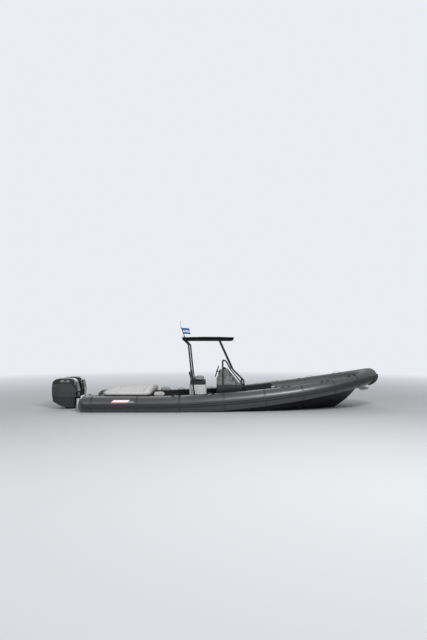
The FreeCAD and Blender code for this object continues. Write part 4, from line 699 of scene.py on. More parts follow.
# Inflation valves: a round flange with a capped boss
VALVE = ((0.030, -0.002), (0.031, 0.003), (0.027, 0.006), (0.020, 0.007), (0.019, 0.012), (0.015, 0.014),
         (0.013, 0.010), (0.002, 0.010))
for side_name, side in SIDES:
    for number, (place, angle) in enumerate(VALVES):
        inner, outer = on_tube(side, place, angle), on_tube(side, place, angle, 1.0)
        piece(f"inflation_valve_{side_name}_{number}", turned(VALVE, inner, outer - inner, 32), valve_plastic)


# ---- fittings on the CAD pieces ----------------------------------------------------------

trees = {}
DOWN = (0, 0, -1)
# Half the distance between the two engines' middles
ENGINE_OUT = 0.370


def touch(node, start, way):
    """Where a straight line from a start first meets a CAD node, and the face's direction there."""
    if node not in trees:
        work = bmesh.new()
        work.from_mesh(frame["nodes"][node].data)
        trees[node] = BVHTree.FromBMesh(work)
        work.free()
    place, normal, _, _ = trees[node].ray_cast(Vector(start), Vector(way).normalized())
    if place is None:
        raise RuntimeError(f"no {node} from {start} along {way}")
    return np.array(place), np.array(normal)


def fitting(name, profile, node, start, way, count, look, body="root"):
    """A round fitting turned from its profile, where a straight line meets a CAD node."""
    place, normal = touch(node, start, way)
    piece(name, turned(profile, place, normal, count), look, body)


def plate(name, node, start, way, sizes, look, body="root"):
    """A flat fitting where a straight line meets a CAD node. Its sizes are those of a panel, from the
    width on. Returns its place and direction, for what sits on it."""
    place, normal = touch(node, start, way)
    piece(name, panel(place, normal, *sizes), look, body)
    return place, normal


BOLT = ((0.0075, -0.002), (0.0080, 0.001), (0.0076, 0.004), (0.0060, 0.0052), (0.001, 0.0056))


def bolts(name, places, body="root", look=bolt_steel, scale=1.0):
    """Round-headed bolts at rows of place and direction, as one piece."""
    rows = np.array(BOLT) * scale
    meshes = [turned(rows, at, normal, 12) for at, normal in places]
    return piece(name, joined(name, meshes), look, body)


# Feet of the T-top legs: four bolts round each
LEG_OUT, FOOT_BOLT_CIRCLE, FOOT_BOLTS = 0.600, 0.041, 4
for side_name, side in SIDES:
    for place_name, x in (("aft", -0.530), ("fore", 0.905)):
        turns = np.linspace(0, 2 * math.pi, FOOT_BOLTS, endpoint=False) + math.pi / FOOT_BOLTS
        bolts(f"leg_foot_bolts_{place_name}_{side_name}", [
            touch("t_top_legs", (x + FOOT_BOLT_CIRCLE * math.cos(turn),
                                 side * LEG_OUT + FOOT_BOLT_CIRCLE * math.sin(turn), 0.30), DOWN)
            for turn in turns])

# Clamp plates: a row of bolts on each of a plate's two side flanges, which slant with the transom
CLAMP_HEIGHTS = (0.260, 0.170, 0.080, -0.010, -0.100)
CLAMP_STATION, CLAMP_SLANT, CLAMP_REACH = -3.835, 0.222, 0.30
for side_name, side in SIDES:
    rows = [touch("clamp_brackets", (CLAMP_STATION - CLAMP_SLANT * (height - CLAMP_HEIGHTS[-1]),
                                     side * ENGINE_OUT + across * CLAMP_REACH, height), (0, -across, 0))
            for across in (-1, 1) for height in CLAMP_HEIGHTS]
    bolts(f"clamp_bolts_{side_name}", rows, scale=1.3)

# Fillers and cleat washers on the coamings
FILLER = ((0.045, -0.002), (0.046, 0.003), (0.043, 0.0055), (0.034, 0.006), (0.033, 0.004), (0.018, 0.004),
          (0.014, 0.0055), (0.001, 0.0055))
for name, x, y in (("fuel_filler", -0.35, 0.885), ("water_filler", -0.60, -0.885)):
    fitting(name, FILLER, "coamings", (x, y, 2.0), DOWN, 40, steel)
CLEAT_STATION, CLEAT_OUT, CLEAT_SCREW = -3.385, 0.905, 0.060
for side_name, side in SIDES:
    screws = [touch("coamings", (CLEAT_STATION + along, side * CLEAT_OUT, 1.0), DOWN)
              for along in (-CLEAT_SCREW, CLEAT_SCREW)]
    bolts(f"cleat_washers_{side_name}", screws, look=steel, scale=2.2)

# Speakers in the coamings' inner sides: a rim, a cone behind a grille and a centre cap
SPEAKER = ((0.082, -0.002), (0.083, 0.006), (0.078, 0.010), (0.068, 0.010), (0.066, 0.006), (0.030, 0.003),
           (0.026, 0.008), (0.014, 0.011), (0.001, 0.012))
SPEAKER_HEIGHT, GRILLE_RADIUS, GRILLE_EDGE, GRILLE_CROWN, GRILLE_WIRE = 0.30, 0.066, 0.011, 0.014, 0.0022
for side_name, side in SIDES:
    for number, x in enumerate((-0.95, 1.25)):
        place, normal = touch("coamings", (x, 0.0, SPEAKER_HEIGHT), (0, side, 0))
        piece(f"speaker_{side_name}_{number}", turned(SPEAKER, place, normal, 48), trim_gelcoat)
        bars = []
        for offset in np.linspace(-0.048, 0.048, 7):
            half_bar = math.sqrt(GRILLE_RADIUS ** 2 - offset ** 2)
            path = [(x + share * half_bar, place[1] - side * off, SPEAKER_HEIGHT + offset)
                    for share, off in ((-1, GRILLE_EDGE), (0, GRILLE_CROWN), (1, GRILLE_EDGE))]
            bars.append(swept(smooth_path(path, 9), round_section(GRILLE_WIRE, 6)))
        piece(f"speaker_grille_{side_name}_{number}", joined("speaker_grille", bars), black_powder)

# Courtesy lamps low on the coamings' inner sides
STEP_LAMP_HEIGHT, STEP_LAMP_RIM = 0.185, 0.005
for side_name, side in SIDES:
    for number, x in enumerate((-1.45, 0.25, 1.65)):
        place, normal = plate(f"step_lamp_{side_name}_{number}", "coamings", (x, 0.0, STEP_LAMP_HEIGHT),
                              (0, side, 0), (0.070, 0.026, STEP_LAMP_RIM, 0.012), steel)
        lens = panel(place + normal * STEP_LAMP_RIM, normal, 0.050, 0.012, 0.001, 0.005, 0.0005)
        piece(f"step_lamp_lens_{side_name}_{number}", lens, lamp_lens)

# Sole: drains in the aft corners, and the floor hatch's rim and pull
DRAIN = ((0.036, -0.002), (0.037, 0.0015), (0.033, 0.003), (0.026, 0.003), (0.024, 0.0012), (0.002, 0.0012))
for side_name, side in SIDES:
    fitting(f"drain_{side_name}", DRAIN, "deck_sole", (-1.71, side * 0.70, 0.5), DOWN, 32, steel)
HATCH_FROM, HATCH_TO, HATCH_MIDDLE, HATCH_HALF, SOLE_TOP, RIM_HEIGHT = 1.10, 1.62, 1.36, 0.30, 0.1205, 0.001
rim_x, rim_y = rounded_outline((HATCH_FROM, -HATCH_HALF), (HATCH_TO, HATCH_HALF), 0.05, 96)
rim_inner = np.stack([rim_x, rim_y, np.full_like(rim_x, SOLE_TOP)], axis=-1)
rim_outer = np.stack([rim_x + (rim_x - HATCH_MIDDLE) * 0.03, rim_y * 1.025, rim_inner[:, 2]], axis=-1)
rim_rise = (0, 0, RIM_HEIGHT)
rim_rows = np.stack([rim_inner, rim_inner + rim_rise, rim_outer + rim_rise, rim_outer, rim_inner])
piece("floor_hatch_rim", tidy(net("floor_hatch_rim", rim_rows, around=True)), black_powder)
PULL = ((0.030, -0.001), (0.031, 0.002), (0.028, 0.0035), (0.020, 0.0035), (0.017, 0.001), (0.002, 0.001))
piece("floor_hatch_pull", turned(PULL, (1.555, 0, SOLE_TOP), (0, 0, 1), 32), steel)

# Bow hatch: a flush latch near its aft edge
fitting("bow_hatch_latch", PULL, "bow_hatch", (3.868, 0.0, 2.0), DOWN, 32, steel, "hatch")
# Lid under the sunpad: a flush latch in its forward face
plate("sunpad_latch", "sunpad_lid", (-1.0, 0.30, 0.4255), (-1, 0, 0), (0.09, 0.020, 0.004, 0.006), steel,
      "sunpad")

# ---- console -----------------------------------------------------------------------------

DASH_LOW, DASH_FACE = np.array((0.1638, 0.0, 0.9631)), 0.0156
DASH_ALONG, DASH_OUT = np.array((0.302, 0.0, 0.953)), np.array((-0.953, 0.0, 0.302))


def on_dash(y, up, lift=0.0):
    """A point on the dash, a distance up its slope, or off its face by a lift."""
    return DASH_LOW + DASH_ALONG * up + DASH_OUT * (DASH_FACE + lift) + np.array((0.0, y, 0.0))


SCREEN_ACROSS = 0.270
piece("chart_screen_rim", panel(on_dash(SCREEN_ACROSS, 0.093), DASH_OUT, 0.188, 0.132, 0.012, 0.014, 0.004),
      dash_black)
piece("chart_screen",
      panel(on_dash(SCREEN_ACROSS, 0.095, 0.0115), DASH_OUT, 0.160, 0.098, 0.0012, 0.004, 0.0005),
      screen_glass)
DIAL_RIM = ((0.024, -0.002), (0.0265, 0.001), (0.0265, 0.005), (0.0245, 0.0065), (0.0225, 0.005),
            (0.0220, 0.003), (0.002, 0.003))
DIAL_FACE = ((0.0218, 0.0), (0.0218, 0.0036), (0.001, 0.0036))
DIAL_UP, NEEDLE_TIP, NEEDLE_TAIL, NEEDLE_LIFT, NEEDLE_RADIUS = 0.142, 0.016, 0.004, 0.0045, 0.0009
for number, y in enumerate((-0.105, -0.035, 0.035, 0.105)):
    middle = on_dash(y, DIAL_UP)
    piece(f"dial_rim_{number}", turned(DIAL_RIM, middle, DASH_OUT, 40), steel)
    piece(f"dial_face_{number}", turned(DIAL_FACE, middle, DASH_OUT, 40), dial_face)
    lean = math.radians(-50 + 30 * number)
    tip = on_dash(y + NEEDLE_TIP * math.sin(lean), DIAL_UP + NEEDLE_TIP * math.cos(lean), NEEDLE_LIFT)
    tail = on_dash(y - NEEDLE_TAIL * math.sin(lean), DIAL_UP - NEEDLE_TAIL * math.cos(lean), NEEDLE_LIFT)
    needle = swept(np.linspace(tail, tip, 3), round_section(NEEDLE_RADIUS, 6), up=tuple(DASH_OUT))
    piece(f"dial_needle_{number}", needle, needle_white)

# Switch panels on the sloped face under the dash: rocker switches in a row, and a sound unit
SLOPE_LOW, SLOPE_HIGH = np.array((0.0905, 0.0, 0.8131)), np.array((0.1642, 0.0, 0.9630))
slope_along = (SLOPE_HIGH - SLOPE_LOW) / np.linalg.norm(SLOPE_HIGH - SLOPE_LOW)
slope_out = np.array((-slope_along[2], 0.0, slope_along[0]))
slope_middle = (SLOPE_LOW + SLOPE_HIGH) / 2 + slope_out * 0.0002
PLATE_ACROSS, PLATE_THICKNESS, ROCKER_TOP = 0.235, 0.005, 0.011


def on_slope(y, lift=0.0, up=0.0):
    """A point on the middle line of the sloped face, or off it by a lift and up it by a distance."""
    return slope_middle + (0, y, 0) + slope_out * lift + slope_along * up


for name, y in (("switch_plate", PLATE_ACROSS), ("sound_unit", -PLATE_ACROSS)):
    piece(name, panel(on_slope(y), slope_out, 0.250, 0.090, PLATE_THICKNESS, 0.010), dash_black)
for number, y in enumerate(np.linspace(0.145, 0.325, 6)):
    piece(f"rocker_{number}",
          panel(on_slope(y, PLATE_THICKNESS), slope_out, 0.020, 0.040, 0.006, 0.003, 0.002), valve_plastic)
    piece(f"rocker_lamp_{number}",
          panel(on_slope(y, ROCKER_TOP, 0.011), slope_out, 0.007, 0.003, 0.0006, 0.001, 0.0002), decal_red)
KNOB = ((0.015, 0.0), (0.0145, 0.012), (0.0125, 0.015), (0.001, 0.015))
for name, y in (("sound_knob_port", -0.150), ("sound_knob_starboard", -0.320)):
    piece(name, turned(KNOB, on_slope(y, PLATE_THICKNESS), slope_out, 28), steel)
piece("sound_display",
      panel(on_slope(-PLATE_ACROSS, PLATE_THICKNESS), slope_out, 0.105, 0.038, 0.0012, 0.003, 0.0005),
      screen_glass)

# Compass: a flange, a housing and a clear dome on the console's top
COMPASS_FOOT = ((0.058, -0.002), (0.058, 0.004), (0.050, 0.010), (0.047, 0.028), (0.050, 0.032),
                (0.044, 0.034), (0.002, 0.034))
DOME_RADIUS, DOME_FOOT, DOME_RISE = 0.043, 0.033, 0.030
dome = [(DOME_RADIUS * math.cos(a), DOME_FOOT + DOME_RISE * math.sin(a))
        for a in np.linspace(0, math.pi / 2 - 0.02, 12)]
for name, profile, look in (("compass_foot", COMPASS_FOOT, dash_black), ("compass_dome", dome, screen_glass)):
    fitting(name, profile, "console_upper", (0.335, 0.0, 2.0), DOWN, 48, look)

# Doors in the console's side recesses, each with a latch and two hinges
for side_name, side in SIDES:
    place, normal = plate(f"console_door_{side_name}", "console_base", (0.525, side, 0.330), (0, -side, 0),
                          (0.330, 0.235, 0.006, 0.018), trim_gelcoat)
    piece(f"console_door_latch_{side_name}",
          turned(PULL, place + (0.135, 0, 0) + normal * 0.006, normal, 32), steel)
    for number, drop in enumerate((-0.075, 0.075)):
        piece(f"console_door_hinge_{side_name}_{number}",
              panel(place + (-0.160, 0, drop) + normal * 0.005, normal, 0.034, 0.048, 0.004, 0.004), steel)
# Locker doors in the console's front, and in the seat box's front and sides, each with a latch and two
# hinges: the node, where and which way its face is felt for, the door's width and height, and its finish
DOOR_THICKNESS, LATCH_INSET, HINGE_HALF, HINGE_RADIUS = 0.010, 0.045, 0.03, 0.006
for name, node, start, way, width, height, look in (
        ("console_hatch", "console_base", (2.0, 0.0, 0.40), (-1, 0, 0), 0.46, 0.36, trim_gelcoat),
        ("seat_hatch", "seat_box", (1.0, 0.0, 0.42), (-1, 0, 0), 0.56, 0.34, box_gelcoat),
        ("seat_locker_starboard", "seat_box", (-0.47, -2.0, 0.42), (0, 1, 0), 0.30, 0.36, box_gelcoat),
        ("seat_locker_port", "seat_box", (-0.47, 2.0, 0.42), (0, -1, 0), 0.30, 0.36, box_gelcoat)):
    place, normal = plate(name, node, start, way, (width, height, DOOR_THICKNESS, 0.030, 0.004), look)
    right, upward, _ = crossed(normal)
    face = place + normal * DOOR_THICKNESS
    piece(f"{name}_latch", turned(PULL, face + right * (width / 2 - LATCH_INSET), normal, 32), steel)
    edge = face - right * (width / 2)
    piece(f"{name}_hinge", joined("hinges", [
        swept(np.linspace(edge + upward * (drop - HINGE_HALF), edge + upward * (drop + HINGE_HALF), 3),
              round_section(HINGE_RADIUS, 10), up=tuple(normal))
        for drop in (-height / 3, height / 3)]), steel)
# Two slats of a vent high in the console's front
for number, height in enumerate((0.640, 0.662)):
    plate(f"console_vent_{number}", "console_base", (2.0, 0.0, height), (-1, 0, 0),
          (0.260, 0.012, 0.006, 0.005, 0.002), dash_black)

# The hub cap turns with the wheel
WHEEL_CENTRE, WHEEL_AXIS = np.array((0.108879, 0, 1.089591)), np.array((-0.953329, 0, 0.301932))
HUB_CAP = ((0.030, 0.0), (0.030, 0.020), (0.027, 0.024), (0.001, 0.026))
piece("wheel_hub_cap", turned(HUB_CAP, WHEEL_CENTRE, WHEEL_AXIS, 40), dash_black, "helm")

# ---- T-top -------------------------------------------------------------------------------

canopy_low, canopy_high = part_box("t_top_canopy")


def cushion_mesh(name, outline, low, high, edge, rows):
    """A closed pad: the outline is drawn in towards its middle row by row, below on low(x, y) and
    above on high(x, y), with a round edge of the given radius between."""
    x, y = outline
    middle_x, middle_y = (x.min() + x.max()) / 2, (y.min() + y.max()) / 2
    half = min(x.max() - x.min(), y.max() - y.min()) / 2
    reaches = np.linspace(0.02, 1, rows)
    points = []
    for reach, turn in [*((reach, -1.0) for reach in reaches[:-1]),
                        *((1.0, math.sin(a)) for a in np.linspace(-math.pi / 2, math.pi / 2, 9)),
                        *((reach, 1.0) for reach in reaches[-2::-1])]:
        scale = reach * (1 - edge / half)
        px, py = middle_x + (x - middle_x) * scale, middle_y + (y - middle_y) * scale
        bottom, top = low(px, py), high(px, py)
        push = edge * math.sqrt(max(0.0, 1 - turn ** 2)) / half
        points.append(np.stack([px + (x - middle_x) * push, py + (y - middle_y) * push,
                                (bottom + top) / 2 + (top - bottom) / 2 * turn], axis=-1))
    return net(name, np.array(points), around=True, ends=True)


def level(height):
    """A flat face at a height."""
    return lambda x, y: np.full_like(x, height)


CANOPY_MIDDLE, CANOPY_HALF, CANOPY_SIDE, CANOPY_CORNER, CANOPY_EDGE = -0.165, 0.775, 0.8, 0.15, 0.024
END_DROP, SIDE_DROP = 0.016, 0.012


def canopy_top(x, y):
    """Upper face of the hard top: a parabola each way, that drops to the ends and to the sides."""
    return (canopy_high.z - END_DROP * ((x - CANOPY_MIDDLE) / CANOPY_HALF) ** 2
            - SIDE_DROP * (y / CANOPY_SIDE) ** 2)


canopy_outline = rounded_outline((canopy_low.x, canopy_low.y), (canopy_high.x, canopy_high.y),
                                 CANOPY_CORNER, 240)
canopy_mesh = cushion_mesh("hard_top", canopy_outline, level(canopy_low.z), canopy_top, CANOPY_EDGE, 16)
piece("hard_top", tidy(canopy_mesh, 60), canopy_shell, stands_for=("t_top_canopy",))
SPOT = ((0.040, -0.002), (0.041, 0.004), (0.036, 0.008), (0.030, 0.008), (0.028, 0.005), (0.002, 0.005))
for number, (x, y) in enumerate(((-0.45, -0.35), (-0.45, 0.35), (0.20, -0.35), (0.20, 0.35))):
    piece(f"top_lamp_{number}", turned(SPOT, (x, y, canopy_low.z), DOWN, 32), lamp_lens)
# Satellite aerial on the top
place = np.array((0.15, 0.32, canopy_high.z - 0.006))
AERIAL = ((0.052, -0.004), (0.052, 0.020), (0.046, 0.034), (0.030, 0.042), (0.001, 0.044))
piece("satellite_aerial", turned(AERIAL, place, (0, 0, 1), 40), lamp_lens)
# Masthead lamp beside the top of the staff
staff_low, staff_high = np.array((-0.900, 0.0, 2.156)), np.array((-1.0023, 0.0, 2.450))
staff_way = (staff_high - staff_low) / np.linalg.norm(staff_high - staff_low)
MAST_LAMP = ((0.016, -0.004), (0.024, 0.0), (0.024, 0.008), (0.021, 0.010), (0.021, 0.040), (0.024, 0.042),
             (0.024, 0.050), (0.014, 0.056), (0.006, 0.056))
lamp_foot = staff_high - staff_way * 0.052
piece("masthead_lamp", turned(MAST_LAMP, lamp_foot, staff_way, 32), dash_black)
MAST_LENS = ((0.0215, 0.0), (0.0215, 0.028), (0.001, 0.028))
piece("masthead_lens", turned(MAST_LENS, lamp_foot + staff_way * 0.011, staff_way, 32), lamp_lens)

# ---- outboards ---------------------------------------------------------------------------

# Cowl rows: height above the joint, front and rear behind the steering axis, share of the half width
COWL_BANDS = (
    ((0, -0.015, 0.740, 1), (0.052, -0.020, 0.745, 1), (0.105, -0.024, 0.748, 1)),
    ((0.112, -0.026, 0.751, 1.034), (0.190, -0.030, 0.754, 1.034), (0.290, -0.012, 0.753, 1.034),
     (0.386, 0.010, 0.743, 1.034)),
    ((0.393, 0.013, 0.740, 1), (0.449, 0.030, 0.724, 0.985), (0.499, 0.068, 0.668, 0.93),
     (0.530, 0.115, 0.600, 0.85), (0.550, 0.185, 0.490, 0.70), (0.557, 0.250, 0.420, 0.5),
     (0.560, 0.300, 0.370, 0.25), (0.561, 0.334, 0.337, 0.01)))
COWL_ROW_COUNTS = (8, 16, 34)
# Plan of the cowl: share of the length from the front, and share of the half width
COWL_PLAN = ((0, 0.8), (0.26, 1), (0.67, 1), (1, 0.62))
COWL_BASE, COWL_HALF, COWL_ROUNDING, STEERING = 0.3513, 0.205, 0.075, -4.060
RING_STEPS = 1024


def cowl_ring(height, front, rear, width, count=128):
    """A cowl outline at a height: the plan's eight corners, rounded and walked by equal steps. The
    rounding is a running mean, weighted by a bell, along a finely walked polygon."""
    corners = [(front + share * (rear - front), half * width * COWL_HALF) for share, half in COWL_PLAN]
    corners = np.array(corners + [(x, -y) for x, y in corners[::-1]])
    closed = np.concatenate([corners, corners[:1]])
    lengths = np.concatenate([[0], np.cumsum(np.linalg.norm(np.diff(closed, axis=0), axis=1))])
    fine = np.linspace(0, lengths[-1], RING_STEPS, endpoint=False)
    walked = np.stack([np.interp(fine, lengths, closed[:, i]) for i in (0, 1)], axis=-1)
    reach = max(2, int(COWL_ROUNDING / lengths[-1] * RING_STEPS * min(1, lengths[-1])))
    kernel = np.hanning(2 * reach + 1)[1:-1]
    kernel /= kernel.sum()
    around = np.concatenate([walked[-reach:], walked, walked[:reach]])
    smoothed = np.stack([np.convolve(around[:, i], kernel, "same")[reach:-reach] for i in (0, 1)], axis=-1)
    ring = smoothed[::RING_STEPS // count]
    return np.stack([STEERING - ring[:, 0], ring[:, 1], np.full(len(ring), COWL_BASE + height)], axis=-1)


cowl_rows = [row for band, count in zip(COWL_BANDS, COWL_ROW_COUNTS) for row in smooth_path(band, count)]
cowl_shape = np.array([cowl_ring(*row) for row in cowl_rows])
# Behind the steering axis: the vents' middle, the place ahead of it where their depth is felt, and the
# latch. Then the heights of both, and the depth of the seam under the cowl
VENT_BEHIND, VENT_AHEAD, LATCH_BEHIND, VENT_HEIGHT, LATCH_HEIGHT = 0.300, 0.075, 0.7465, 0.8265, 0.385
SEAM_DROP = (0, 0, -0.007)
for side_name, side in SIDES:
    body, out = f"engine_{side_name}", side * ENGINE_OUT
    offset = np.array((0, out, 0))
    cover = tidy(net("engine_cover", cowl_shape + offset, around=True, ends=True), 40)
    piece(f"engine_cover_{side_name}", cover, cowl_gloss, body, (f"cowl_{side_name}",))
    # Vents high in the cowl's sides: a dark plate with three slats
    for face_name, face in (("inner", -side), ("outer", side)):
        start = (STEERING - VENT_BEHIND + VENT_AHEAD, out + face, VENT_HEIGHT)
        place, normal = touch(f"cowl_{side_name}", start, (0, -face, 0))
        place[0] = STEERING - VENT_BEHIND
        piece(f"vent_plate_{face_name}_{side_name}",
              panel(place - normal * 0.006, normal, 0.142, 0.050, 0.014, 0.012, 0.003), cowl_satin, body)
        piece(f"vent_slats_{face_name}_{side_name}", joined("slats", [
            panel(place + normal * 0.0075 + (0, 0, drop), normal, 0.118, 0.007, 0.0025, 0.003, 0.001)
            for drop in (-0.014, 0.0, 0.014)]), dash_black, body)
    # Cowl latch at the rear of the joint, and the trim line between cowl and apron
    piece(f"cowl_latch_{side_name}",
          panel((STEERING - LATCH_BEHIND, out, LATCH_HEIGHT), (-1, 0, 0), 0.070, 0.030, 0.008, 0.008, 0.003),
          cowl_satin, body)
    ring = cowl_ring(0.0, -0.010, 0.738, 0.992) + offset
    middle = ring.mean(axis=0)
    inner = middle + (ring - middle) * 0.97
    band_points = np.stack([inner, ring, ring + SEAM_DROP, inner + SEAM_DROP, inner])
    piece(f"cowl_seam_{side_name}", tidy(net("cowl_seam", band_points, around=True)), dash_black, body)
    # Zinc anodes beside the gearcase, and water grilles in the leg
    plate(f"side_anode_{side_name}", f"leg_{side_name}", (-4.250, out + side, -0.300), (0, -side, 0),
          (0.070, 0.030, 0.008, 0.006, 0.002), anode_zinc, body)
    for face_name, face in (("starboard", -1), ("port", 1)):
        place, normal = touch(f"leg_{side_name}", (-4.165, out + face, -0.560), (0, -face, 0))
        piece(f"water_grille_{face_name}_{side_name}", joined("grille", [
            panel(place + (0, 0, drop), normal, 0.050, 0.005, 0.003, 0.002, 0.001)
            for drop in np.linspace(-0.02, 0.02, 4)]), valve_plastic, body)

# ---- cushions ----------------------------------------------------------------------------

SWELL_FRAMES = 20


def evaluated(item):
    """The piece as its modifiers leave it."""
    return item.evaluated_get(bpy.context.evaluated_depsgraph_get())


def swell(item, voxel, cap, seams, pressure=4.0):
    """Fills a pad: it is remeshed, blown up by cloth pressure with gravity off and its seams held, and
    no point may move further than the cap. The result is kept and subdivided once."""
    remesh = item.modifiers.new("remesh", "REMESH")
    remesh.mode = "VOXEL"
    remesh.voxel_size = voxel
    old, item.data = item.data, bpy.data.meshes.new_from_object(evaluated(item))
    bpy.data.meshes.remove(old)
    item.modifiers.clear()
    start = np.zeros(len(item.data.vertices) * 3)
    item.data.vertices.foreach_get("co", start)
    start = start.reshape(-1, 3)
    item.vertex_groups.new(name="held").add(np.nonzero(seams(start))[0].tolist(), 1.0, "REPLACE")
    cloth = item.modifiers.new("cloth", "CLOTH")
    cloth.settings.use_pressure = True
    cloth.settings.uniform_pressure_force = pressure
    cloth.settings.effector_weights.gravity = 0
    cloth.settings.quality = 5
    cloth.settings.vertex_group_mass = "held"
    cloth.point_cache.frame_start, cloth.point_cache.frame_end = 1, SWELL_FRAMES
    for number in range(1, SWELL_FRAMES + 1):
        scene.frame_set(number)
    blown = evaluated(item).to_mesh()
    final = np.zeros(start.size)
    blown.vertices.foreach_get("co", final)
    shift = final.reshape(-1, 3) - start
    length = np.linalg.norm(shift, axis=1, keepdims=True)
    shift *= np.minimum(1, cap / np.maximum(length, 1e-9))
    item.modifiers.clear()
    item.vertex_groups.clear()
    scene.frame_set(1)
    item.data.vertices.foreach_set("co", (start + shift).ravel())
    item.data.update()
    item.data.shade_smooth()
    rounder = item.modifiers.new("rounder", "SUBSURF")
    rounder.levels = rounder.render_levels = 1


def pad(name, mesh, look, stands_for, slot, seams, body="root", voxel=0.010, cap=0.010, fill=0.7):
    """A cushion: its mesh is swollen between its seams."""
    item = piece(name, tidy(mesh, 60), look, body, stands_for)
    swell(item, voxel, cap, seams)
    return item


def near_lines(values, lines, half_width):
    """True within half a seam's width of any of the lines across an axis."""
    return np.min([np.abs(values - line) for line in lines], axis=0) < half_width


# Half the width of the seam that is held on the two large pads, and on the seat. A pad's foot is held
# too, and its seams only above a height over its floor
SEAM_HALF, SEAT_SEAM_HALF, HELD_FOOT, SEAMS_ABOVE = 0.011, 0.009, 0.012, 0.06

# Sunpad: crowned across, drooping aft, with a headrest roll at its forward end. Its outline narrows a
# little at its aft end
sun_low, sun_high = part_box("sunpad_cushion")
PAD_INSET, SUN_EDGE, SUN_CROWN, SUN_SIDE_FALL, DROOP_LENGTH = 0.012, 0.045, 0.196, 0.094, 0.34
NARROW_LENGTH, NARROW_BY = 0.30, 0.085
ROLL_CENTRE, ROLL_WIDTH, ROLL_RISE = 0.105, 0.080, 0.062


def sun_top(x, y):
    """Top of the sunpad: a parabola across, a quarter sine that drops aft, and a bell-shaped roll."""
    across = np.clip(np.abs(y) / sun_high.y, 0, 1)
    droop = 0.42 + 0.58 * np.sin(np.clip((x - sun_low.x) / DROOP_LENGTH, 0, 1) * math.pi / 2)
    roll = np.exp(-np.abs((x - (sun_high.x - ROLL_CENTRE)) / ROLL_WIDTH) ** 2.6) * ROLL_RISE
    return sun_low.z + (SUN_CROWN - SUN_SIDE_FALL * across ** 2.2) * droop + roll * (1 - 0.25 * across ** 2)


sun_x, sun_y = rounded_outline((sun_low.x + PAD_INSET, sun_low.y + PAD_INSET),
                               (sun_high.x - PAD_INSET, sun_high.y - PAD_INSET), 0.14, 260)
narrow = 1 - NARROW_BY * np.clip((sun_low.x + NARROW_LENGTH - sun_x) / NARROW_LENGTH, 0, 1) ** 1.5
sun_outline = (sun_x, sun_y * narrow)


def sun_seams(points):
    """The sewn lines across and along the sunpad, its edge and its underside."""
    x, y, z = points.T
    across = near_lines(x, SUN_SEAMS, SEAM_HALF)
    along = near_lines(y, (0,), SEAM_HALF) & (x < SUN_SEAMS[-1])
    return (across | along) & (z > sun_low.z + SEAMS_ABOVE) | (z < sun_low.z + HELD_FOOT)


sun_mesh = cushion_mesh("sunpad", sun_outline, level(sun_low.z + 0.003), sun_top, SUN_EDGE, 44)
pad("sunpad", sun_mesh, pale_vinyl, ("sunpad_cushion",), "pale_vinyl", sun_seams, "sunpad",
    voxel=0.018, cap=0.012)

# Bow cushion on the foredeck, its sides following the tubes
bow_low, bow_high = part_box("bow_cushion")
BOW_THICK, BOW_ACROSS, BOW_UNDER_TOP, BOW_CORNER, BOW_END_ROUND = 0.122, 41, 0.127, 0.08, 0.045
bow_x = np.linspace(bow_low.x + PAD_INSET, bow_high.x - PAD_INSET, 70)


def bow_spot(x):
    """Height of the foredeck cushion's solid at a station, and its half width a little lower."""
    top = touch("bow_cushion", (x, 0.0, 3.0), DOWN)[0][2]
    return top, touch("bow_cushion", (x, 3.0, top - 0.09), (0, -1, 0))[0][1]


def quarter_round(distance, radius):
    """The height of a quarter circle's rounding, from 0 at its edge to 1 at its radius."""
    return np.sqrt(1 - (1 - np.clip(distance / radius, 0, 1)) ** 2)


bow_spots = np.array([bow_spot(x) for x in bow_x])
bow_floor_z, bow_half = bow_spots[:, 0] - BOW_UNDER_TOP, bow_spots[:, 1] - PAD_INSET
from_end = np.minimum(bow_x - bow_x[0], bow_x[-1] - bow_x)
bow_half = bow_half - BOW_CORNER * (1 - quarter_round(from_end, BOW_CORNER))
bow_thick = BOW_THICK * (0.30 + 0.70 * quarter_round(from_end, BOW_END_ROUND))
across = np.linspace(-1, 1, BOW_ACROSS)
ring_share = np.concatenate([across, across[::-1]])
ring_rise = np.concatenate([np.zeros(BOW_ACROSS), (0.42 + 0.58 * (1 - np.abs(across) ** 9))[::-1]])
bow_points = np.stack([bow_x[:, None] * np.ones((1, 2 * BOW_ACROSS)), bow_half[:, None] * ring_share[None, :],
                       bow_floor_z[:, None] + bow_thick[:, None] * ring_rise[None, :]], axis=-1)


def bow_seams(points):
    """The sewn lines across and along the bow cushion, and its underside."""
    x, y, z = points.T
    floor_z = np.interp(x, bow_x, bow_floor_z)
    lines = near_lines(x, BOW_SEAMS, SEAM_HALF) | near_lines(y, (0,), SEAM_HALF)
    return lines & (z > floor_z + SEAMS_ABOVE) | (z < floor_z + HELD_FOOT)


pad("bow_pad", net("bow_pad", bow_points, around=True, ends=True), dark_vinyl, ("bow_cushion",), "dark_vinyl",
    bow_seams, voxel=0.018, cap=0.011)


BOX_INSET, BOX_UNDER_TOP, BOX_OVER_FLOOR, BOX_HELD_FOOT = 0.007, 0.008, 0.002, 0.010


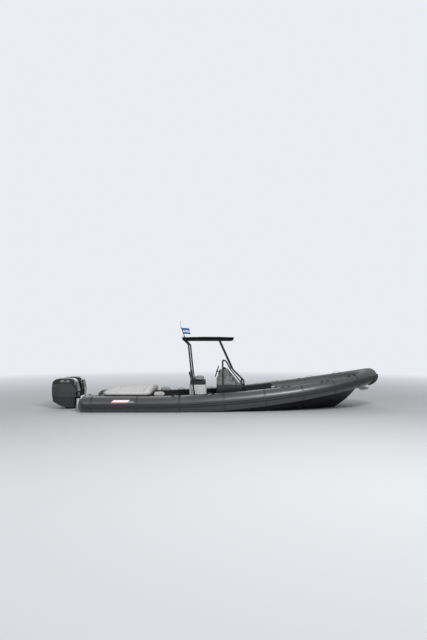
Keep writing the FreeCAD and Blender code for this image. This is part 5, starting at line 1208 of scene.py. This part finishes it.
def box_pad(name, low, high, look, slot, stands_for, corner, edge, crown=0.012, seams=(), **more):
    """A rectangular pad inside a box. Its top falls by a parabola of the larger share of the way to an
    edge. seams are places across."""
    middle_x, middle_y = (low.x + high.x) / 2, (low.y + high.y) / 2
    half_x, half_y = (high.x - low.x) / 2, (high.y - low.y) / 2

    def top_of(x, y):
        spread = np.maximum(((x - middle_x) / half_x) ** 2, ((y - middle_y) / half_y) ** 2)
        return high.z - BOX_UNDER_TOP - crown * spread

    def held(points):
        x, y, z = points.T
        lines = near_lines(y - middle_y, seams, SEAT_SEAM_HALF) if seams else np.zeros(len(x), bool)
        return lines & (z > low.z + 0.5 * (high.z - low.z)) | (z < low.z + BOX_HELD_FOOT)

    outline = rounded_outline((low.x + BOX_INSET, low.y + BOX_INSET),
                              (high.x - BOX_INSET, high.y - BOX_INSET), corner, 120)
    mesh = cushion_mesh(name, outline, level(low.z + BOX_OVER_FLOOR), top_of, edge, 14)
    return pad(name, mesh, look, stands_for, slot, held, **more)


pads_low, pads_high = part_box("side_pads")
SIDE_PAD_INNER = 0.822
for side_name, side in SIDES:
    near, far = sorted((side * SIDE_PAD_INNER, side * pads_high.y))
    low, high = Vector((pads_low.x, near, pads_low.z)), Vector((pads_high.x, far, pads_high.z))
    box_pad(f"side_pad_{side_name}", low, high, side_vinyl, "pale_vinyl", ("side_pads",) if side < 0 else (),
            0.035, 0.03, voxel=0.010, cap=0.006)

seat_low, seat_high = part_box("seat_cushion")
box_pad("helm_seat_pad", seat_low, seat_high, seat_vinyl, "seat_vinyl", ("seat_cushion",), 0.06, 0.035,
        seams=SEAT_SEAMS, voxel=0.013, cap=0.009)

# Helm seat back: leans aft, with a rolled top
back_low, back_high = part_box("seat_back")
BACK_ACROSS, BACK_HALF, BACK_BEND = 41, 0.412, (0, 0.35, 1)
lean = np.linspace(0, 1, 37)
front_line = np.interp(lean, BACK_BEND, (-0.578, -0.592, -0.648))
rear_line = np.interp(lean, BACK_BEND, (-0.690, -0.704, -0.728))
round_top = np.sqrt(1 - np.clip((lean - 0.84) / 0.16, 0, 1) ** 2)
half_thick = (front_line - rear_line) / 2 * (0.22 + 0.78 * round_top)
side_share = np.linspace(-1, 1, BACK_ACROSS)
ring_share = np.concatenate([side_share, side_share[::-1]])
ring_face = np.concatenate([np.ones(BACK_ACROSS), -np.ones(BACK_ACROSS)])
end_fall = 0.15 + 0.85 * np.sqrt(np.clip(1 - np.abs(ring_share) ** 8, 0, 1))
wide = BACK_HALF - 0.03 * np.clip((lean - 0.7) / 0.3, 0, 1) ** 2
back_rise = back_low.z + 0.004 + (back_high.z - back_low.z - 0.014) * lean
back_points = np.stack([
    ((front_line + rear_line) / 2)[:, None] + half_thick[:, None] * ring_face[None, :] * end_fall[None, :],
    wide[:, None] * ring_share[None, :],
    back_rise[:, None] * np.ones((1, 2 * BACK_ACROSS))], axis=-1)


def back_seams(points):
    """The upright sewn lines on the seat back's front, and its foot."""
    x, y, z = points.T
    return near_lines(y, SEAT_SEAMS, SEAT_SEAM_HALF) & (x > -0.65) | (z < back_low.z + HELD_FOOT)


pad("helm_seat_back", net("helm_seat_back", back_points, around=True, ends=True), seat_vinyl, ("seat_back",),
    "seat_vinyl", back_seams, voxel=0.012, cap=0.010)

# Black curved bands at both ends of the seat back
ARM_OUT = 0.4245
ARM_SECTION = ((-0.006, -0.020), (0.006, -0.020), (0.006, 0.020), (-0.006, 0.020))
for side_name, side in SIDES:
    y = side * ARM_OUT
    curve = smooth_path(((-0.722, y, 1.090), (-0.700, y, 0.985), (-0.620, y, 0.895), (-0.500, y, 0.860)), 33)
    piece(f"seat_arm_{side_name}", swept(curve, ARM_SECTION), black_powder)

# Sunpad: a dark press stud near each side
STUD = ((0.020, -0.004), (0.021, 0.003), (0.017, 0.008), (0.001, 0.010))
STUD_STATION, STUD_OUT, STUD_LIFT, STUD_LEAN = -2.105, 0.93, 0.004, 0.35
studs = []
for _, side in SIDES:
    stud_height = float(sun_top(np.array(STUD_STATION), np.array(side * STUD_OUT))) + STUD_LIFT
    studs.append(turned(STUD, (STUD_STATION, side * STUD_OUT, stud_height), (0, side * STUD_LEAN, 1), 28))
piece("sunpad_studs", joined("sunpad_studs", studs), dash_black, "sunpad")

# ---- flag --------------------------------------------------------------------------------

FLAG_WIDTH, FLAG_HEIGHT, FLAG_FROM_STAFF, FLAG_SAG = 0.235, 0.185, 0.036, 0.018
WAVE_LENGTH, WAVE_SLOPE, WAVE_FREE = 0.118, 0.62, 0.05
FLAG_ALONG, FLAG_UP = 60, 36
flag_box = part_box("flag")
hoist_low = np.array((flag_box[0].x + 0.018, 0.0, flag_box[0].z + 0.010))
STAFF_LEAN = staff_way[0] / staff_way[2]
along = np.linspace(0, FLAG_WIDTH, FLAG_ALONG)
heading = WAVE_SLOPE * np.sin(2 * np.pi * along / WAVE_LENGTH) * np.clip(along / WAVE_FREE, 0, 1)
step = along[1]
run_x = np.concatenate([[0], np.cumsum(np.cos(heading[:-1]) * step)])
run_y = np.concatenate([[0], np.cumsum(np.sin(heading[:-1]) * step)])
up = np.linspace(0, FLAG_HEIGHT, FLAG_UP)
flag_points = np.stack([
    hoist_low[0] + FLAG_FROM_STAFF + run_x[:, None]
    + STAFF_LEAN * up[None, :] * (1 - 0.4 * along[:, None] / FLAG_WIDTH),
    run_y[:, None] * (1 + 0.15 * up[None, :] / FLAG_HEIGHT),
    hoist_low[2] + up[None, :] - FLAG_SAG * (along[:, None] / FLAG_WIDTH) ** 2], axis=-1)
flag_look = Look("flag_blue_and_white", (0.70, 0.70, 0.70), 0.75)
cloth_place = flag_look.node("ShaderNodeUVMap", {"uv_map": "cloth"})
cloth_up = flag_look.node("ShaderNodeSeparateXYZ", {}, cloth_place, out=1)
blue_part = (cloth_up > 0.62) + (cloth_up < 0.30)
flag_look.set(base_color=flag_look.mix(blue_part, (0.68, 0.69, 0.70), (0.03, 0.12, 0.42)))
flag_look.bump(flag_look.noise(900, 2.0), 0.0004)
flag_mesh = net("flag_cloth", flag_points)
layer = flag_mesh.uv_layers.new(name="cloth")
corners = np.zeros(len(flag_mesh.loops), int)
flag_mesh.loops.foreach_get("vertex_index", corners)
layer.data.foreach_set("uv", np.stack([corners // FLAG_UP / (FLAG_ALONG - 1),
                                       corners % FLAG_UP / (FLAG_UP - 1)], axis=-1).ravel())
flag_mesh.shade_smooth()
flag = piece("flag_cloth", flag_mesh, flag_look, stands_for=("flag",))
wall = flag.modifiers.new("thickness", "SOLIDIFY")
wall.thickness = 0.0008
wall.offset = 0
TIE, TIE_INSET = ((0.0125, -0.004), (0.0150, -0.003), (0.0150, 0.003), (0.0125, 0.004)), 0.02
ties = []
for height in (TIE_INSET, FLAG_HEIGHT - TIE_INSET):
    at = staff_low + staff_way * ((hoist_low[2] + height - staff_low[2]) / staff_way[2])
    ties.append(turned(TIE, at, staff_way, 24))
piece("flag_ties", joined("flag_ties", ties), webbing)
